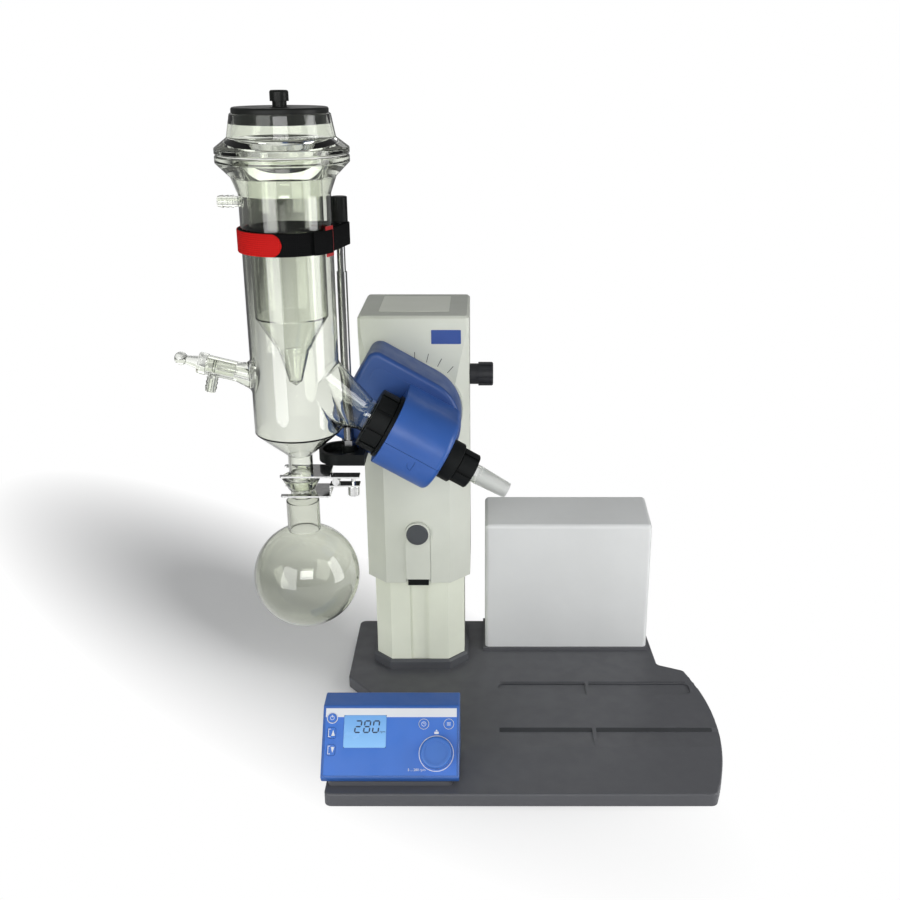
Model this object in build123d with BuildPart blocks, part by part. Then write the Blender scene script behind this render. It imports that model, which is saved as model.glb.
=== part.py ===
from build123d import *
import os
from math import atan2, cos, hypot, radians, sin, sqrt, tan

# Rotary evaporator with a vertical cold-finger condenser, in millimetres.
# +Z is up, +X is to the operator's right, the operator stands at -Y and the bench is Z = 0.

# Fits
run_fit = 0.05  # radial play of a shaft, pin or guide
seat_fit = 0.02  # radial play of a ring in its seat
play = 0.3  # air between pieces that move past each other
seam = 0.5  # parting line between two mouldings
soft_edge = 1.2  # edges of small turned pieces
hand_edge = 2.5  # edges of what is held by hand

# Base
base_left = -162
base_front = -216
base_rear = 220
base_front_right = 314
base_bulge = (343, -70)  # outermost point of the curved right side
base_shoulder = (322, 70)
base_step = (286, 87)
base_rear_right = 281
base_top = 20
base_wall = 4
base_edge = 2.5
base_corner = 9
notch_depth = 37  # hand room behind the control panel
notch_front = -100
notch_rear = 8
notch_slant = 46
foot_height = 3
foot_radius = 11
foot_inset = 26
plate_thickness = 2
bath_groove_left = 52
bath_groove_right = 322
bath_groove_y = 21
bath_groove_width = 30
bath_groove_corner = 9
bath_groove_depth = 2.5
bath_ramp_rear = -75  # front guide: a steep step, then a floor that rises to the front
bath_ramp_step = 7
bath_ramp_length = 44
bath_cross_x = 178
bath_cross_width = 5
plinth_height = 4
plinth_margin = 4  # in front of the power box
plinth_side = 3

# Column and carriage, one behind the other on the tower axis
tower_x = -60
column_width = 127
column_depth = 126
column_front = 79
column_chamfer = 22.5
column_wall = 6
column_top = 415
column_groove_width = 26
column_groove_depth = 3
collar_overhang = 5.5
collar_height = 14
slide_room = 3  # between column and carriage, filled by the guide rings
carriage_wall = 6
carriage_chamfer = 27.5
carriage_bottom = 161
carriage_top = 543
fade_start = 410  # the corner chamfers run out between these heights
fade_end = 520
fade_chamfer = 4
carriage_edge = 3
guide_height = 20
guide_upper = 350
lift_motor_width = 60
lift_motor_height = 85
lift_motor_corner = 5
spindle_radius = 8
spindle_top = 410
spindle_seat = 20  # depth of the spindle in the motor
nut_bottom = 300
nut_thread = 30
nut_radius = 14
nut_flange_radius = 30
nut_flange = 6

# End stop on the front of the carriage
stop_width = 34.5
stop_z = 237
stop_recess = 4.5
stop_proud = 2
stop_head_proud = 6
stop_bar_width = 29
stop_bar_height = 9
stop_bar_drop = 3  # below the carriage
stop_button_radius = 15
stop_button_thickness = 5
stop_button_proud = 1.5
stop_button_travel = 3

# Tilt knob on the right of the carriage
tilt_knob_y = 110
tilt_knob_z = 455
tilt_knob_neck_radius = 14
tilt_knob_neck = 12
tilt_knob_radius = 16
tilt_knob_length = 32
tilt_stem_radius = 6
grip_depth = 1.2
grip_count = 12

# Tilting drive head: its axis crosses the pivot and falls to the right
tilt_angle = 30
pivot_z = 417
axis_y = -47
pivot_radius = 20
pivot_depth = 20
boss_radius = 64
boss_height = 3
tilt_play = 0.5
housing_radius = 62.5
housing_reach = 91
housing_depth = 63.5
housing_wall = 3
housing_edge = 6
housing_corner = 14
pivot_boss_radius = 28

# Drive body, measured along the drive axis from the pivot
body_radius = 47.5
body_start = -28
body_length = 75
body_wall = 3.5
body_end_wall = 4
body_edge = 7
seam_drop = 4  # parting line below the axis
carrier_flange_radius = 41
carrier_flange = 4
spigot_radius = 33
spigot_length = 11
sleeve_radius = 36
bearing_radius = 31
bearing_width = 12
bearing_inset = 2
shaft_radius = 20
shaft_stub_radius = 16
shaft_stub_length = 14
collar_radius = 26
collar_length = 19.5
pulley_start = 3
pulley_width = 14
pulley_radius = 27
motor_pulley_radius = 9
belt_thickness = 1.5
belt_inset = 1
belt_play = 0.1
belt_window = 4  # room round the belt where it leaves the drive body
motor_y = 29
motor_gap = 2  # to the pivot boss
motor_end_gap = 4  # to the housing's end wall
motor_stem_radius = 4
motor_stem_seat = 10
seal_thickness = 3
seal_proud = 1
push_nut_radius = 22.5
push_nut_length = 22
push_nut_slots = 6
push_nut_slot = 5
push_nut_slot_depth = 2.5
lock_x = 16
lock_angle = 19
lock_radius = 7
lock_sunk = 0.8
lock_travel = 2

# Vapour tube with its ground cone
tube_radius = 12
tube_wall = 2.2
tube_start = -56
cone_start = 97
cone_length = 42
cone_tip_radius = 10

# Condenser nut
nut_ring_radius = 38
nut_lip = 4.7
nut_arm_room = 1.5
nut_lands = 10
nut_land_gap = 4
nut_land_depth = 2

# Condenser glass
condenser_x = -195.5
glass_wall = 2.5
glass_rounding = 2
arm_radius = 21
arm_flange_radius = 31
arm_flange = 6
arm_neck = 12
arm_cone_length = 72
arm_cone_radius = 46.5
arm_join = 9  # roundings where the arms are blown into the jacket
cock_join = 8
nozzle_join = 2
jacket_radius = 52.5
jacket_bottom = 428
jacket_neck_radius = 15
jacket_neck_top = 396
jacket_length = 284
jacket_flare_radius = 59.5
jacket_flare = 19
flange_radius = 75.5
jacket_flange_slope = 16
jacket_flange = 8
flange_bore = 56
flange_seal = 1
flange_seal_width = 14
flange_seal_inset = 2
finger_radius = 43
finger_shoulder_drop = 18
finger_length = 168
finger_cone = 86
finger_mid_radius = 18  # half-way down the drawn-in end
finger_tip_radius = 8
finger_tip_rise = 6
finger_flange = 7
finger_waist_radius = 61
finger_waist = 11
rim_radius = 56
rim_bore = 53
rim_height = 26
lid_radius = 54
lid_thickness = 6
lid_plug_depth = 12
lid_plug_gap = 1
knob_radius = 10.5
knob_neck_radius = 8
knob_neck = 6
knob_height = 17.7
top_nozzle_drop = 9
top_nozzle_reach = 77
nozzle_radius = 6
nozzle_bore = 3
barb_height = 1.2
barb_length = 6
barb_count = 3

# Stopcock arm on the left of the condenser
cock_angle = 14
cock_ball_x = -331.5
cock_ball_z = 518
cock_ball_radius = 8
cock_radius = 12
cock_flare_radius = 18
cock_flare_start = 48
cock_flare_end = 70
cock_bore = 5
cock_plug_radius = 8
cock_plug_start = 74
cock_body_end = 108.4
cock_nozzle_at = 99.5
cock_nozzle_length = 20
cock_key_bore = 2
cock_disc_radius = 13
cock_disc = 10
cock_neck_radius = 5

# Ball joint, receiving flask and fork clamp
ball_z = 364
ball_radius = 17.5
ball_bore = 9
ball_cut = 12
cup_radius = 24.5
cup_height = 15
cup_rise = 2.2
cup_foot_radius = 16.5
waist_radius = 14
waist_top = 349
waist_bottom = 340
waist_bore = 9.5
flask_neck_radius = 20.5
flask_neck_top = 335
flask_radius = 67
flask_z = 232
flask_wall = 2
fork_thickness = 2
fork_half_width = 22
fork_tip = 23.5  # past the joint axis
fork_root = 37.5
fork_corner = 4
upper_fork_z = 372.3
lower_fork_z = 346.5
tail_half_width = 8
tail_end = 72.5
tail_drop = 6
tail_rise = 8.5
knuckle_at = 43.5
screw_at = 64.5
screw_radius = 2.5
screw_knob_radius = 7
screw_knob = 13

# Condenser holder behind the condenser
holder_x = -139.5
holder_y = -6
dish_x = -150
dish_z = 375.5
dish_height = 14
dish_radius = 28
dish_wall = 5
dish_floor = 5
dish_right = -118
hub_radius = 9.5
hub_height = 5
holder_block_start = -50
holder_block_length = 20
holder_block_depth = 9
holder_block_front = 12
holder_block_rear = 32
holder_tube_radius = 6.25
holder_tube_top = 615
holder_rod_radius = 5
holder_rod_seat = 30
holder_nut_width = 16
holder_nut = 7
strap_z = 648
strap_width = 26
strap_thickness = 2
strap_room = 0.5
block_radius = 8.5
block_height = 24
cap_radius = 9.7
cap_height = 30
cap_gap = 1

# Power box
box_left = 34
box_right = 276
box_front = 131
box_front_height = 222
box_rear_height = 233
box_wall = 3
box_edge = 6
inlet_x = 90
inlet_z = 62
inlet_width = 27.5
inlet_height = 20
inlet_depth = 24
inlet_frame = 6
inlet_frame_depth = 2
inlet_side_wall = 3
inlet_rim_wall = 1.8
pin_length = 16
pin_width = 4
pin_thickness = 2
pin_pitch = 7
earth_pin_rise = 3
switch_x = 140
switch_width = 20
switch_height = 28
switch_depth = 4

# Control panel, a wedge at the front left
panel_left = -167
panel_right = 1.6
panel_foot = 26
panel_low = (-203.5, 34)  # lower edge of the face
panel_high = (-147, 100)  # upper edge of the face
panel_back = -114
panel_wall = 3
panel_edge = 3
pedestal_inset = 8
pedestal_corner = 6
pedestal_front = -199
face_margin = 3
face_thickness = 1.6
face_ledge = 1.5
window_x = -114.7
window_t = 55.5
window_width = 52
window_height = 39
window_thickness = 1.2
window_corner = 2
knob_x = -26.5
knob_t = 29.2
speed_knob_radius = 19
speed_knob_height = 14
speed_knob_stem = 3
finger_dish = 1
finger_dish_rim = 5
key_radius = 5.5
key_rise = 0.8
key_depth = 1.5
key_left_x = -155.5
key_power_t = 71.7
key_up_t = 53.6
key_down_t = 33.3
key_right_t = 64.4
key_timer_x = -42.3
key_mode_x = -11.5
arrow_width = 10
arrow_height = 13
arrow_corner = 3
board_gap = 3
board_thickness = 1.6
board_inset = 2
spacer_radius = 2

os.makedirs("parts", exist_ok=True)


def tube(plane, start, end, outer, inner=0, mode=Mode.ADD):
    """Round bar or tube along the plane's normal."""
    with BuildSketch(plane.offset(start)) as section:
        Circle(outer)
        if inner:
            Circle(inner, mode=Mode.SUBTRACT)
    extrude(section.sketch, amount=end - start, mode=mode)


def turned(plane, axis, points, rounding=0, mode=Mode.ADD):
    """Turned solid from the half section on one side of its axis."""
    with BuildSketch(plane) as section:
        with BuildLine():
            Polyline(*points, close=True)
        make_face()
        if rounding:
            fillet(section.vertices().filter_by(lambda v: v.X > 0.01), rounding)
    revolve(section.sketch, axis=axis, mode=mode)


def finish(piece, name):
    """Label a finished piece and write it."""
    piece.part.label = name
    export_step(piece.part, f"parts/{name}.step")


# Shared places
tower_y = column_front + column_depth / 2
carriage_front = column_front - slide_room - carriage_wall
carriage_right = tower_x + column_width / 2 + slide_room + carriage_wall
tower_plane = Plane(origin=(tower_x, tower_y, 0))
drive_dir = Vector(cos(radians(tilt_angle)), 0, -sin(radians(tilt_angle)))
drive_up = Vector(sin(radians(tilt_angle)), 0, cos(radians(tilt_angle)))
pivot = Vector(tower_x, axis_y, pivot_z)
drive_axis = Axis(pivot, drive_dir)
side_plane = Plane(origin=pivot, x_dir=drive_dir, z_dir=(0, -1, 0))
drive_plane = Plane(origin=pivot, x_dir=(0, 1, 0), z_dir=drive_dir)
glass_plane = Plane(origin=(condenser_x, axis_y, 0), x_dir=(1, 0, 0), z_dir=(0, -1, 0))
glass_axis = Axis((condenser_x, axis_y, 0), (0, 0, 1))
glass_up = Plane(origin=(condenser_x, axis_y, 0))

# Base
with BuildSketch() as base_plan:
    with BuildLine():
        Polyline(
            (base_rear_right, base_rear),
            (base_left, base_rear),
            (base_left, notch_rear + notch_slant),
            (base_left + notch_depth, notch_rear),
            (base_left + notch_depth, notch_front),
            (base_left, notch_front),
            (base_left, base_front),
            (base_front_right, base_front),
        )
        ThreePointArc((base_front_right, base_front), base_bulge, base_shoulder)
        Polyline(base_shoulder, base_step, (base_rear_right, base_rear))
    make_face()
    fillet(base_plan.vertices(), base_corner)

with BuildPart() as base_shell:
    with BuildSketch(Plane.XY.offset(foot_height)):
        add(base_plan.sketch)
    extrude(amount=base_top - foot_height)
    fillet(base_shell.faces().sort_by(Axis.Z)[-1].edges(), base_edge)
    # hollow underside
    with BuildSketch(Plane.XY.offset(foot_height)):
        add(base_plan.sketch)
        offset(amount=-base_wall)
    extrude(amount=base_top - base_wall - foot_height, mode=Mode.SUBTRACT)
    # rear bath guide: a shallow channel crossed by a rib
    with BuildSketch(Plane.XY.offset(base_top)):
        with Locations(((bath_groove_left + bath_groove_right) / 2, bath_groove_y)):
            RectangleRounded(
                bath_groove_right - bath_groove_left, bath_groove_width, bath_groove_corner
            )
        with Locations((bath_cross_x, bath_groove_y)):
            Rectangle(bath_cross_width, bath_groove_width, mode=Mode.SUBTRACT)
    extrude(amount=-bath_groove_depth, mode=Mode.SUBTRACT)
    # front bath guide: a ramp that runs out at the curved side, crossed by a rib
    with BuildSketch(Plane.YZ.offset(bath_groove_left)):
        with BuildLine():
            Polyline(
                (bath_ramp_rear, base_top),
                (bath_ramp_rear - bath_ramp_step, base_top - bath_groove_depth),
                (bath_ramp_rear - bath_ramp_length, base_top),
                close=True,
            )
        make_face()
    extrude(amount=base_bulge[0] - bath_groove_left, mode=Mode.SUBTRACT)
    with BuildSketch(Plane.XY.offset(base_top)):
        with Locations((bath_cross_x, bath_ramp_rear - bath_ramp_length / 2)):
            Rectangle(bath_cross_width, bath_ramp_length)
    extrude(amount=-bath_groove_depth)
    # plinth of the power box and pedestal of the control panel
    with BuildSketch(Plane.XY.offset(base_top)):
        with Locations(((box_left + box_right) / 2, (box_front + base_rear - plinth_margin) / 2)):
            Rectangle(
                box_right - box_left + 2 * plinth_side, base_rear - box_front + plinth_margin
            )
    extrude(amount=plinth_height)
    with BuildSketch(Plane.XY.offset(base_top)):
        with Locations(((panel_left + panel_right) / 2, (pedestal_front + panel_back) / 2)):
            RectangleRounded(
                panel_right - panel_left - 2 * pedestal_inset,
                panel_back - pedestal_front,
                pedestal_corner,
            )
    extrude(amount=panel_foot - base_top)
finish(base_shell, "base_shell")

with BuildPart() as base_plate:
    with BuildSketch(Plane.XY.offset(foot_height)):
        add(base_plan.sketch)
        offset(amount=-base_wall - play)
    extrude(amount=plate_thickness)
finish(base_plate, "base_plate")

with BuildPart() as rubber_feet:
    with BuildSketch():
        with Locations(
            (base_left + foot_inset, base_front + foot_inset),
            (base_left + foot_inset, base_rear - foot_inset),
            (base_rear_right - foot_inset, base_rear - foot_inset),
            (base_front_right - foot_inset, base_front + foot_inset),
        ):
            Circle(foot_radius)
    extrude(amount=foot_height)
finish(rubber_feet, "rubber_feet")

# Column, its collar and the lift drive inside it
with BuildSketch() as column_plan:
    with Locations((tower_x, tower_y)):
        Rectangle(column_width, column_depth)
    chamfer(column_plan.vertices(), column_chamfer)

with BuildPart() as column_collar:
    with BuildSketch(Plane.XY.offset(base_top)):
        add(column_plan.sketch)
        offset(amount=collar_overhang, kind=Kind.INTERSECTION)
    extrude(amount=collar_height)
    chamfer(column_collar.faces().sort_by(Axis.Z)[-1].edges(), collar_overhang / 2)
    with BuildSketch(Plane.XY.offset(base_top)):
        add(column_plan.sketch)
        offset(amount=seat_fit, kind=Kind.INTERSECTION)
    extrude(amount=collar_height, mode=Mode.SUBTRACT)
finish(column_collar, "column_collar")

with BuildPart() as column:
    with BuildSketch(Plane.XY.offset(base_top)):
        add(column_plan.sketch)
    extrude(amount=column_top - base_top)
    with BuildSketch(Plane.XY.offset(base_top)):
        add(column_plan.sketch)
        offset(amount=-column_wall, kind=Kind.INTERSECTION)
    extrude(amount=column_top - base_top, mode=Mode.SUBTRACT)
    # guide groove down the front
    with BuildSketch(Plane.XY.offset(base_top)):
        with Locations((tower_x, column_front)):
            Rectangle(column_groove_width, 2 * column_groove_depth)
    extrude(amount=column_top - base_top, mode=Mode.SUBTRACT)
finish(column, "column")

with BuildPart() as lift_motor:
    with BuildSketch(tower_plane.offset(base_top)):
        RectangleRounded(lift_motor_width, lift_motor_width, lift_motor_corner)
    extrude(amount=lift_motor_height)
    motor_top = base_top + lift_motor_height
    tube(tower_plane, motor_top - spindle_seat, motor_top, spindle_radius + run_fit, mode=Mode.SUBTRACT)
finish(lift_motor, "lift_motor")

with BuildPart() as lift_spindle:
    tube(tower_plane, motor_top - spindle_seat + play, spindle_top, spindle_radius)
    chamfer(lift_spindle.edges(), soft_edge)
finish(lift_spindle, "lift_spindle")

# Power box with a gently rising top, its mains inlet and switch at the rear
box_bottom = base_top + plinth_height
rear_plane = Plane(origin=(0, base_rear, 0), x_dir=(-1, 0, 0), z_dir=(0, 1, 0))

with BuildPart() as power_box:
    with BuildSketch(Plane.YZ.offset(box_left)):
        Polygon(
            (box_front, box_bottom),
            (box_front, box_front_height),
            (base_rear, box_rear_height),
            (base_rear, box_bottom),
            align=None,
        )
    extrude(amount=box_right - box_left)
    fillet(power_box.edges().filter_by(lambda e: e.center().Z > box_bottom + 1), box_edge)
    offset(amount=-box_wall, openings=power_box.faces().sort_by(Axis.Z)[0])
    # inlet recess and opening, switch opening
    with BuildSketch(rear_plane):
        with Locations((-inlet_x, inlet_z)):
            Rectangle(inlet_width + 2 * inlet_frame, inlet_height + 2 * inlet_frame)
    extrude(amount=-inlet_frame_depth, mode=Mode.SUBTRACT)
    with BuildSketch(rear_plane):
        with Locations((-inlet_x, inlet_z)):
            Rectangle(inlet_width, inlet_height)
        with Locations((-switch_x, inlet_z)):
            Rectangle(switch_width + 2 * play, switch_height + 2 * play)
    extrude(amount=-2 * box_wall, mode=Mode.SUBTRACT)
finish(power_box, "power_box")

with BuildPart() as mains_inlet:
    with BuildSketch(rear_plane):
        with Locations((-inlet_x, inlet_z)):
            Rectangle(inlet_width + 2 * inlet_frame - play, inlet_height + 2 * inlet_frame - play)
    extrude(amount=-inlet_frame_depth)
    with BuildSketch(rear_plane):
        with Locations((-inlet_x, inlet_z)):
            Rectangle(inlet_width - play, inlet_height - play)
    extrude(amount=-inlet_depth)
    # socket and its three pins
    with BuildSketch(rear_plane):
        with Locations((-inlet_x, inlet_z)):
            Rectangle(inlet_width - 2 * inlet_side_wall, inlet_height - 2 * inlet_rim_wall)
    extrude(amount=inlet_side_wall - inlet_depth, mode=Mode.SUBTRACT)
    with BuildSketch(rear_plane.offset(inlet_side_wall - inlet_depth)):
        with Locations(
            (-inlet_x - pin_pitch, inlet_z),
            (-inlet_x, inlet_z + earth_pin_rise),
            (-inlet_x + pin_pitch, inlet_z),
        ):
            Rectangle(pin_thickness, pin_width)
    extrude(amount=pin_length)
finish(mains_inlet, "mains_inlet")

with BuildPart() as mains_switch:
    with BuildSketch(Plane.YZ.offset(switch_x - switch_width / 2)):
        Polygon(
            (base_rear - switch_depth, inlet_z - switch_height / 2 + play),
            (base_rear, inlet_z - switch_height / 2 + play),
            (base_rear - switch_depth / 3, inlet_z),
            (base_rear, inlet_z + switch_height / 2 - play),
            (base_rear - switch_depth, inlet_z + switch_height / 2 - play),
            align=None,
        )
    extrude(amount=switch_width)
finish(mains_switch, "mains_switch")

# Control panel
face_length = hypot(panel_high[0] - panel_low[0], panel_high[1] - panel_low[1])
face_slope = atan2(panel_high[1] - panel_low[1], panel_high[0] - panel_low[0])
face_normal = Vector(0, -sin(face_slope), cos(face_slope))
face_plane = Plane(origin=(0, panel_low[0], panel_low[1]), x_dir=(1, 0, 0), z_dir=face_normal)
face_width = panel_right - panel_left - 2 * face_margin
face_x = (panel_left + panel_right) / 2
face_height = face_length - 2 * face_margin
key_places = {
    "power_key": (key_left_x, key_power_t),
    "lift_up_key": (key_left_x, key_up_t),
    "lift_down_key": (key_left_x, key_down_t),
    "timer_key": (key_timer_x, key_right_t),
    "mode_key": (key_mode_x, key_right_t),
}
round_keys = [key_places[name] for name in ("power_key", "timer_key", "mode_key")]
arrow_keys = [key_places[name] for name in ("lift_up_key", "lift_down_key")]
panel_side = [
    panel_low,
    (pedestal_front, panel_foot),
    (panel_back, panel_foot),
    (panel_back, panel_high[1] - panel_edge),
    (panel_back - panel_edge, panel_high[1]),
    panel_high,
]

with BuildPart() as panel_housing:
    with BuildSketch(Plane.YZ.offset(panel_left)):
        Polygon(*panel_side, align=None)
    extrude(amount=panel_right - panel_left)
    fillet(panel_housing.edges().filter_by(Axis.X), panel_edge)
    chamfer(panel_housing.faces().filter_by(Axis.X).edges(), panel_edge / 3)
    # cavity
    with BuildSketch(Plane.YZ.offset(panel_left + panel_wall)):
        Polygon(*panel_side, align=None)
        offset(amount=-panel_wall, kind=Kind.INTERSECTION)
    extrude(amount=panel_right - panel_left - 2 * panel_wall, mode=Mode.SUBTRACT)
    # seat and opening of the face
    with BuildSketch(face_plane):
        with Locations((face_x, face_length / 2)):
            Rectangle(face_width, face_height)
    extrude(amount=-face_thickness, mode=Mode.SUBTRACT)
    with BuildSketch(face_plane):
        with Locations((face_x, face_length / 2)):
            Rectangle(face_width - 2 * face_ledge, face_height - 2 * face_ledge)
    extrude(amount=-2 * panel_wall, mode=Mode.SUBTRACT)
finish(panel_housing, "panel_housing")

with BuildPart() as panel_face:
    with BuildSketch(face_plane):
        with Locations((face_x, face_length / 2)):
            Rectangle(face_width - play, face_height - play)
        with Locations((window_x, window_t)):
            Rectangle(window_width + play, window_height + play, mode=Mode.SUBTRACT)
        with Locations((knob_x, knob_t)):
            Circle(speed_knob_stem + play, mode=Mode.SUBTRACT)
        with Locations(*round_keys):
            Circle(key_radius + play, mode=Mode.SUBTRACT)
        with Locations(*arrow_keys):
            RectangleRounded(
                arrow_width + 2 * play, arrow_height + 2 * play, arrow_corner + play, mode=Mode.SUBTRACT
            )
    extrude(amount=-face_thickness)
finish(panel_face, "panel_face")

with BuildPart() as display_window:
    with BuildSketch(face_plane):
        with Locations((window_x, window_t)):
            RectangleRounded(window_width, window_height, window_corner)
    extrude(amount=-window_thickness)
finish(display_window, "display_window")

board_top = -face_thickness - board_gap
board_width = face_width - 2 * (face_ledge + board_inset)
board_height = face_height - 2 * (face_ledge + board_inset)
with BuildPart() as panel_board:
    with BuildSketch(face_plane.offset(board_top)):
        with Locations((face_x, face_length / 2)):
            Rectangle(board_width, board_height)
        with Locations((knob_x, knob_t)):
            Circle(speed_knob_stem + run_fit, mode=Mode.SUBTRACT)
    extrude(amount=-board_thickness)
    # spacers that carry the board under the face
    with BuildSketch(face_plane.offset(-face_thickness)):
        with Locations((face_x, face_length / 2)):
            with GridLocations(board_width / 2, board_height - 4 * spacer_radius, 2, 2):
                Circle(spacer_radius)
    extrude(amount=-board_gap)
finish(panel_board, "panel_board")

with BuildPart() as speed_knob:
    knob_plane = Plane(face_plane.from_local_coords(Vector(knob_x, knob_t, 0)), (1, 0, 0), face_normal)
    tube(knob_plane, play, speed_knob_height, speed_knob_radius)
    fillet(speed_knob.faces().sort_by(Axis(knob_plane.origin, face_normal))[-1].edges(), hand_edge)
    # shallow finger dish in the top
    tube(
        knob_plane,
        speed_knob_height - finger_dish,
        speed_knob_height,
        speed_knob_radius - finger_dish_rim,
        mode=Mode.SUBTRACT,
    )
    tube(knob_plane, board_top - board_thickness, play, speed_knob_stem)
finish(speed_knob, "speed_knob")

for key_name, place in key_places.items():
    with BuildPart() as key:
        with BuildSketch(face_plane.offset(key_rise)):
            with Locations(place):
                if place in round_keys:
                    Circle(key_radius)
                else:
                    RectangleRounded(arrow_width, arrow_height, arrow_corner)
        extrude(amount=-key_rise - face_thickness - key_depth)
        fillet(key.faces().sort_by(Axis((0, 0, 0), face_normal))[-1].edges(), key_rise / 2)
    finish(key, key_name)

# Carriage
carriage_width = column_width + 2 * (slide_room + carriage_wall)
carriage_depth = column_depth + 2 * (slide_room + carriage_wall)
cavity_top = carriage_top - carriage_wall
boss_front = carriage_front - boss_height
pivot_plane = Plane(origin=(tower_x, 0, pivot_z), x_dir=(1, 0, 0), z_dir=(0, 1, 0))
front_plane = Plane(origin=(tower_x, carriage_front, 0), x_dir=(1, 0, 0), z_dir=(0, -1, 0))
knob_side = Plane(origin=(carriage_right, tilt_knob_y, tilt_knob_z), x_dir=(0, 1, 0), z_dir=(1, 0, 0))

with BuildSketch() as carriage_room:
    add(column_plan.sketch)
    offset(amount=slide_room, kind=Kind.INTERSECTION)

with BuildPart() as carriage_shell:
    with BuildSketch(tower_plane.offset(carriage_bottom)) as lower_plan:
        Rectangle(carriage_width, carriage_depth)
        chamfer(lower_plan.vertices(), carriage_chamfer)
    extrude(amount=fade_start - carriage_bottom)
    with BuildSketch(tower_plane.offset(fade_start)) as fade_low:
        Rectangle(carriage_width, carriage_depth)
        chamfer(fade_low.vertices(), carriage_chamfer)
    with BuildSketch(tower_plane.offset(fade_end)) as fade_high:
        Rectangle(carriage_width, carriage_depth)
        chamfer(fade_high.vertices(), fade_chamfer)
    loft()
    with BuildSketch(tower_plane.offset(fade_end)) as upper_plan:
        Rectangle(carriage_width, carriage_depth)
        chamfer(upper_plan.vertices(), fade_chamfer)
    extrude(amount=carriage_top - fade_end)
    chamfer(carriage_shell.faces().sort_by(Axis.Z)[-1].edges(), carriage_edge)
    # boss that carries the pivot
    tube(pivot_plane, boss_front, carriage_front + carriage_chamfer, boss_radius)
    # room for the column
    with BuildSketch(Plane.XY.offset(carriage_bottom)):
        add(carriage_room.sketch)
    extrude(amount=cavity_top - carriage_bottom, mode=Mode.SUBTRACT)
    tube(
        pivot_plane, boss_front, carriage_front + carriage_wall, pivot_radius + seat_fit, mode=Mode.SUBTRACT
    )
    tube(knob_side, -carriage_wall, 0, tilt_stem_radius + run_fit, mode=Mode.SUBTRACT)
    # track of the end stop
    with BuildSketch(front_plane):
        with Locations((0, (carriage_bottom + stop_z) / 2)):
            Rectangle(stop_width + 2 * play, stop_z - carriage_bottom)
        with Locations((0, stop_z)):
            Circle(stop_width / 2 + play)
    extrude(amount=-stop_recess, mode=Mode.SUBTRACT)
finish(carriage_shell, "carriage_shell")

with BuildSketch() as guide_bore:
    add(column_plan.sketch)
    offset(amount=run_fit, kind=Kind.INTERSECTION)

with BuildPart() as guide_rings:
    for ring_z in (carriage_bottom + carriage_edge, guide_upper):
        with BuildSketch(Plane.XY.offset(ring_z)):
            add(column_plan.sketch)
            offset(amount=slide_room - seat_fit, kind=Kind.INTERSECTION)
            add(guide_bore.sketch, mode=Mode.SUBTRACT)
        extrude(amount=guide_height)
finish(guide_rings, "guide_rings")

with BuildPart() as spindle_nut:
    tube(tower_plane, nut_bottom, cavity_top, nut_radius)
    tube(tower_plane, cavity_top - nut_flange, cavity_top, nut_flange_radius)
    tube(tower_plane, nut_bottom, nut_bottom + nut_thread, spindle_radius + run_fit, mode=Mode.SUBTRACT)
    tube(
        tower_plane,
        nut_bottom + nut_thread,
        cavity_top - nut_flange,
        (spindle_radius + nut_radius) / 2,
        mode=Mode.SUBTRACT,
    )
finish(spindle_nut, "spindle_nut")

with BuildPart() as pivot_shaft:
    tube(pivot_plane, boss_front - tilt_play - pivot_depth, carriage_front + carriage_wall, pivot_radius)
finish(pivot_shaft, "pivot_shaft")

with BuildPart() as tilt_knob:
    tube(knob_side, play - carriage_wall, play, tilt_stem_radius)
    tube(knob_side, play, tilt_knob_neck, tilt_knob_neck_radius)
    tube(knob_side, tilt_knob_neck, tilt_knob_length, tilt_knob_radius)
    fillet(tilt_knob.faces().sort_by(Axis.X)[-1].edges(), hand_edge)
    with BuildSketch(knob_side.offset(tilt_knob_neck)):
        with PolarLocations(tilt_knob_radius, grip_count):
            Rectangle(2 * grip_depth, 2 * grip_depth)
    extrude(amount=tilt_knob_length - tilt_knob_neck, mode=Mode.SUBTRACT)
finish(tilt_knob, "tilt_knob")

# End stop: a slider in the carriage front, a bar at its foot and a release button
stop_back = play - stop_recess
stop_foot = carriage_bottom - stop_bar_drop + stop_bar_height
stop_plane = Plane(origin=(tower_x, carriage_front, stop_z), x_dir=(1, 0, 0), z_dir=(0, -1, 0))

with BuildPart() as stop_slider:
    with BuildSketch(front_plane.offset(stop_back)):
        with Locations((0, (stop_foot + stop_z) / 2)):
            Rectangle(stop_width, stop_z - stop_foot)
        with Locations((0, stop_z)):
            Circle(stop_width / 2)
    extrude(amount=stop_proud - stop_back)
    tube(stop_plane, stop_back, stop_head_proud, stop_width / 2)
    button_back = stop_head_proud + stop_button_proud - stop_button_thickness
    tube(
        stop_plane,
        button_back - stop_button_travel - play,
        stop_head_proud,
        stop_button_radius + play,
        mode=Mode.SUBTRACT,
    )
finish(stop_slider, "stop_slider")

with BuildPart() as stop_bar:
    with BuildSketch(front_plane.offset(stop_back)):
        with Locations((0, stop_foot - stop_bar_height / 2)):
            Rectangle(stop_bar_width, stop_bar_height)
    extrude(amount=stop_proud - stop_back)
finish(stop_bar, "stop_bar")

with BuildPart() as stop_button:
    tube(stop_plane, button_back, button_back + stop_button_thickness, stop_button_radius)
    fillet(stop_button.faces().sort_by(Axis.Y)[0].edges(), soft_edge)
finish(stop_button, "stop_button")

# Tilting head: the rear housing turns on the pivot shaft
housing_back = boss_front - tilt_play
housing_front = housing_back - housing_depth
body_back = housing_front - axis_y
body_end = body_start + body_length
window_start = pulley_start - belt_window
window_length = pulley_width + 2 * belt_window
window_half = pulley_radius + belt_thickness + belt_window / 2


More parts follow.
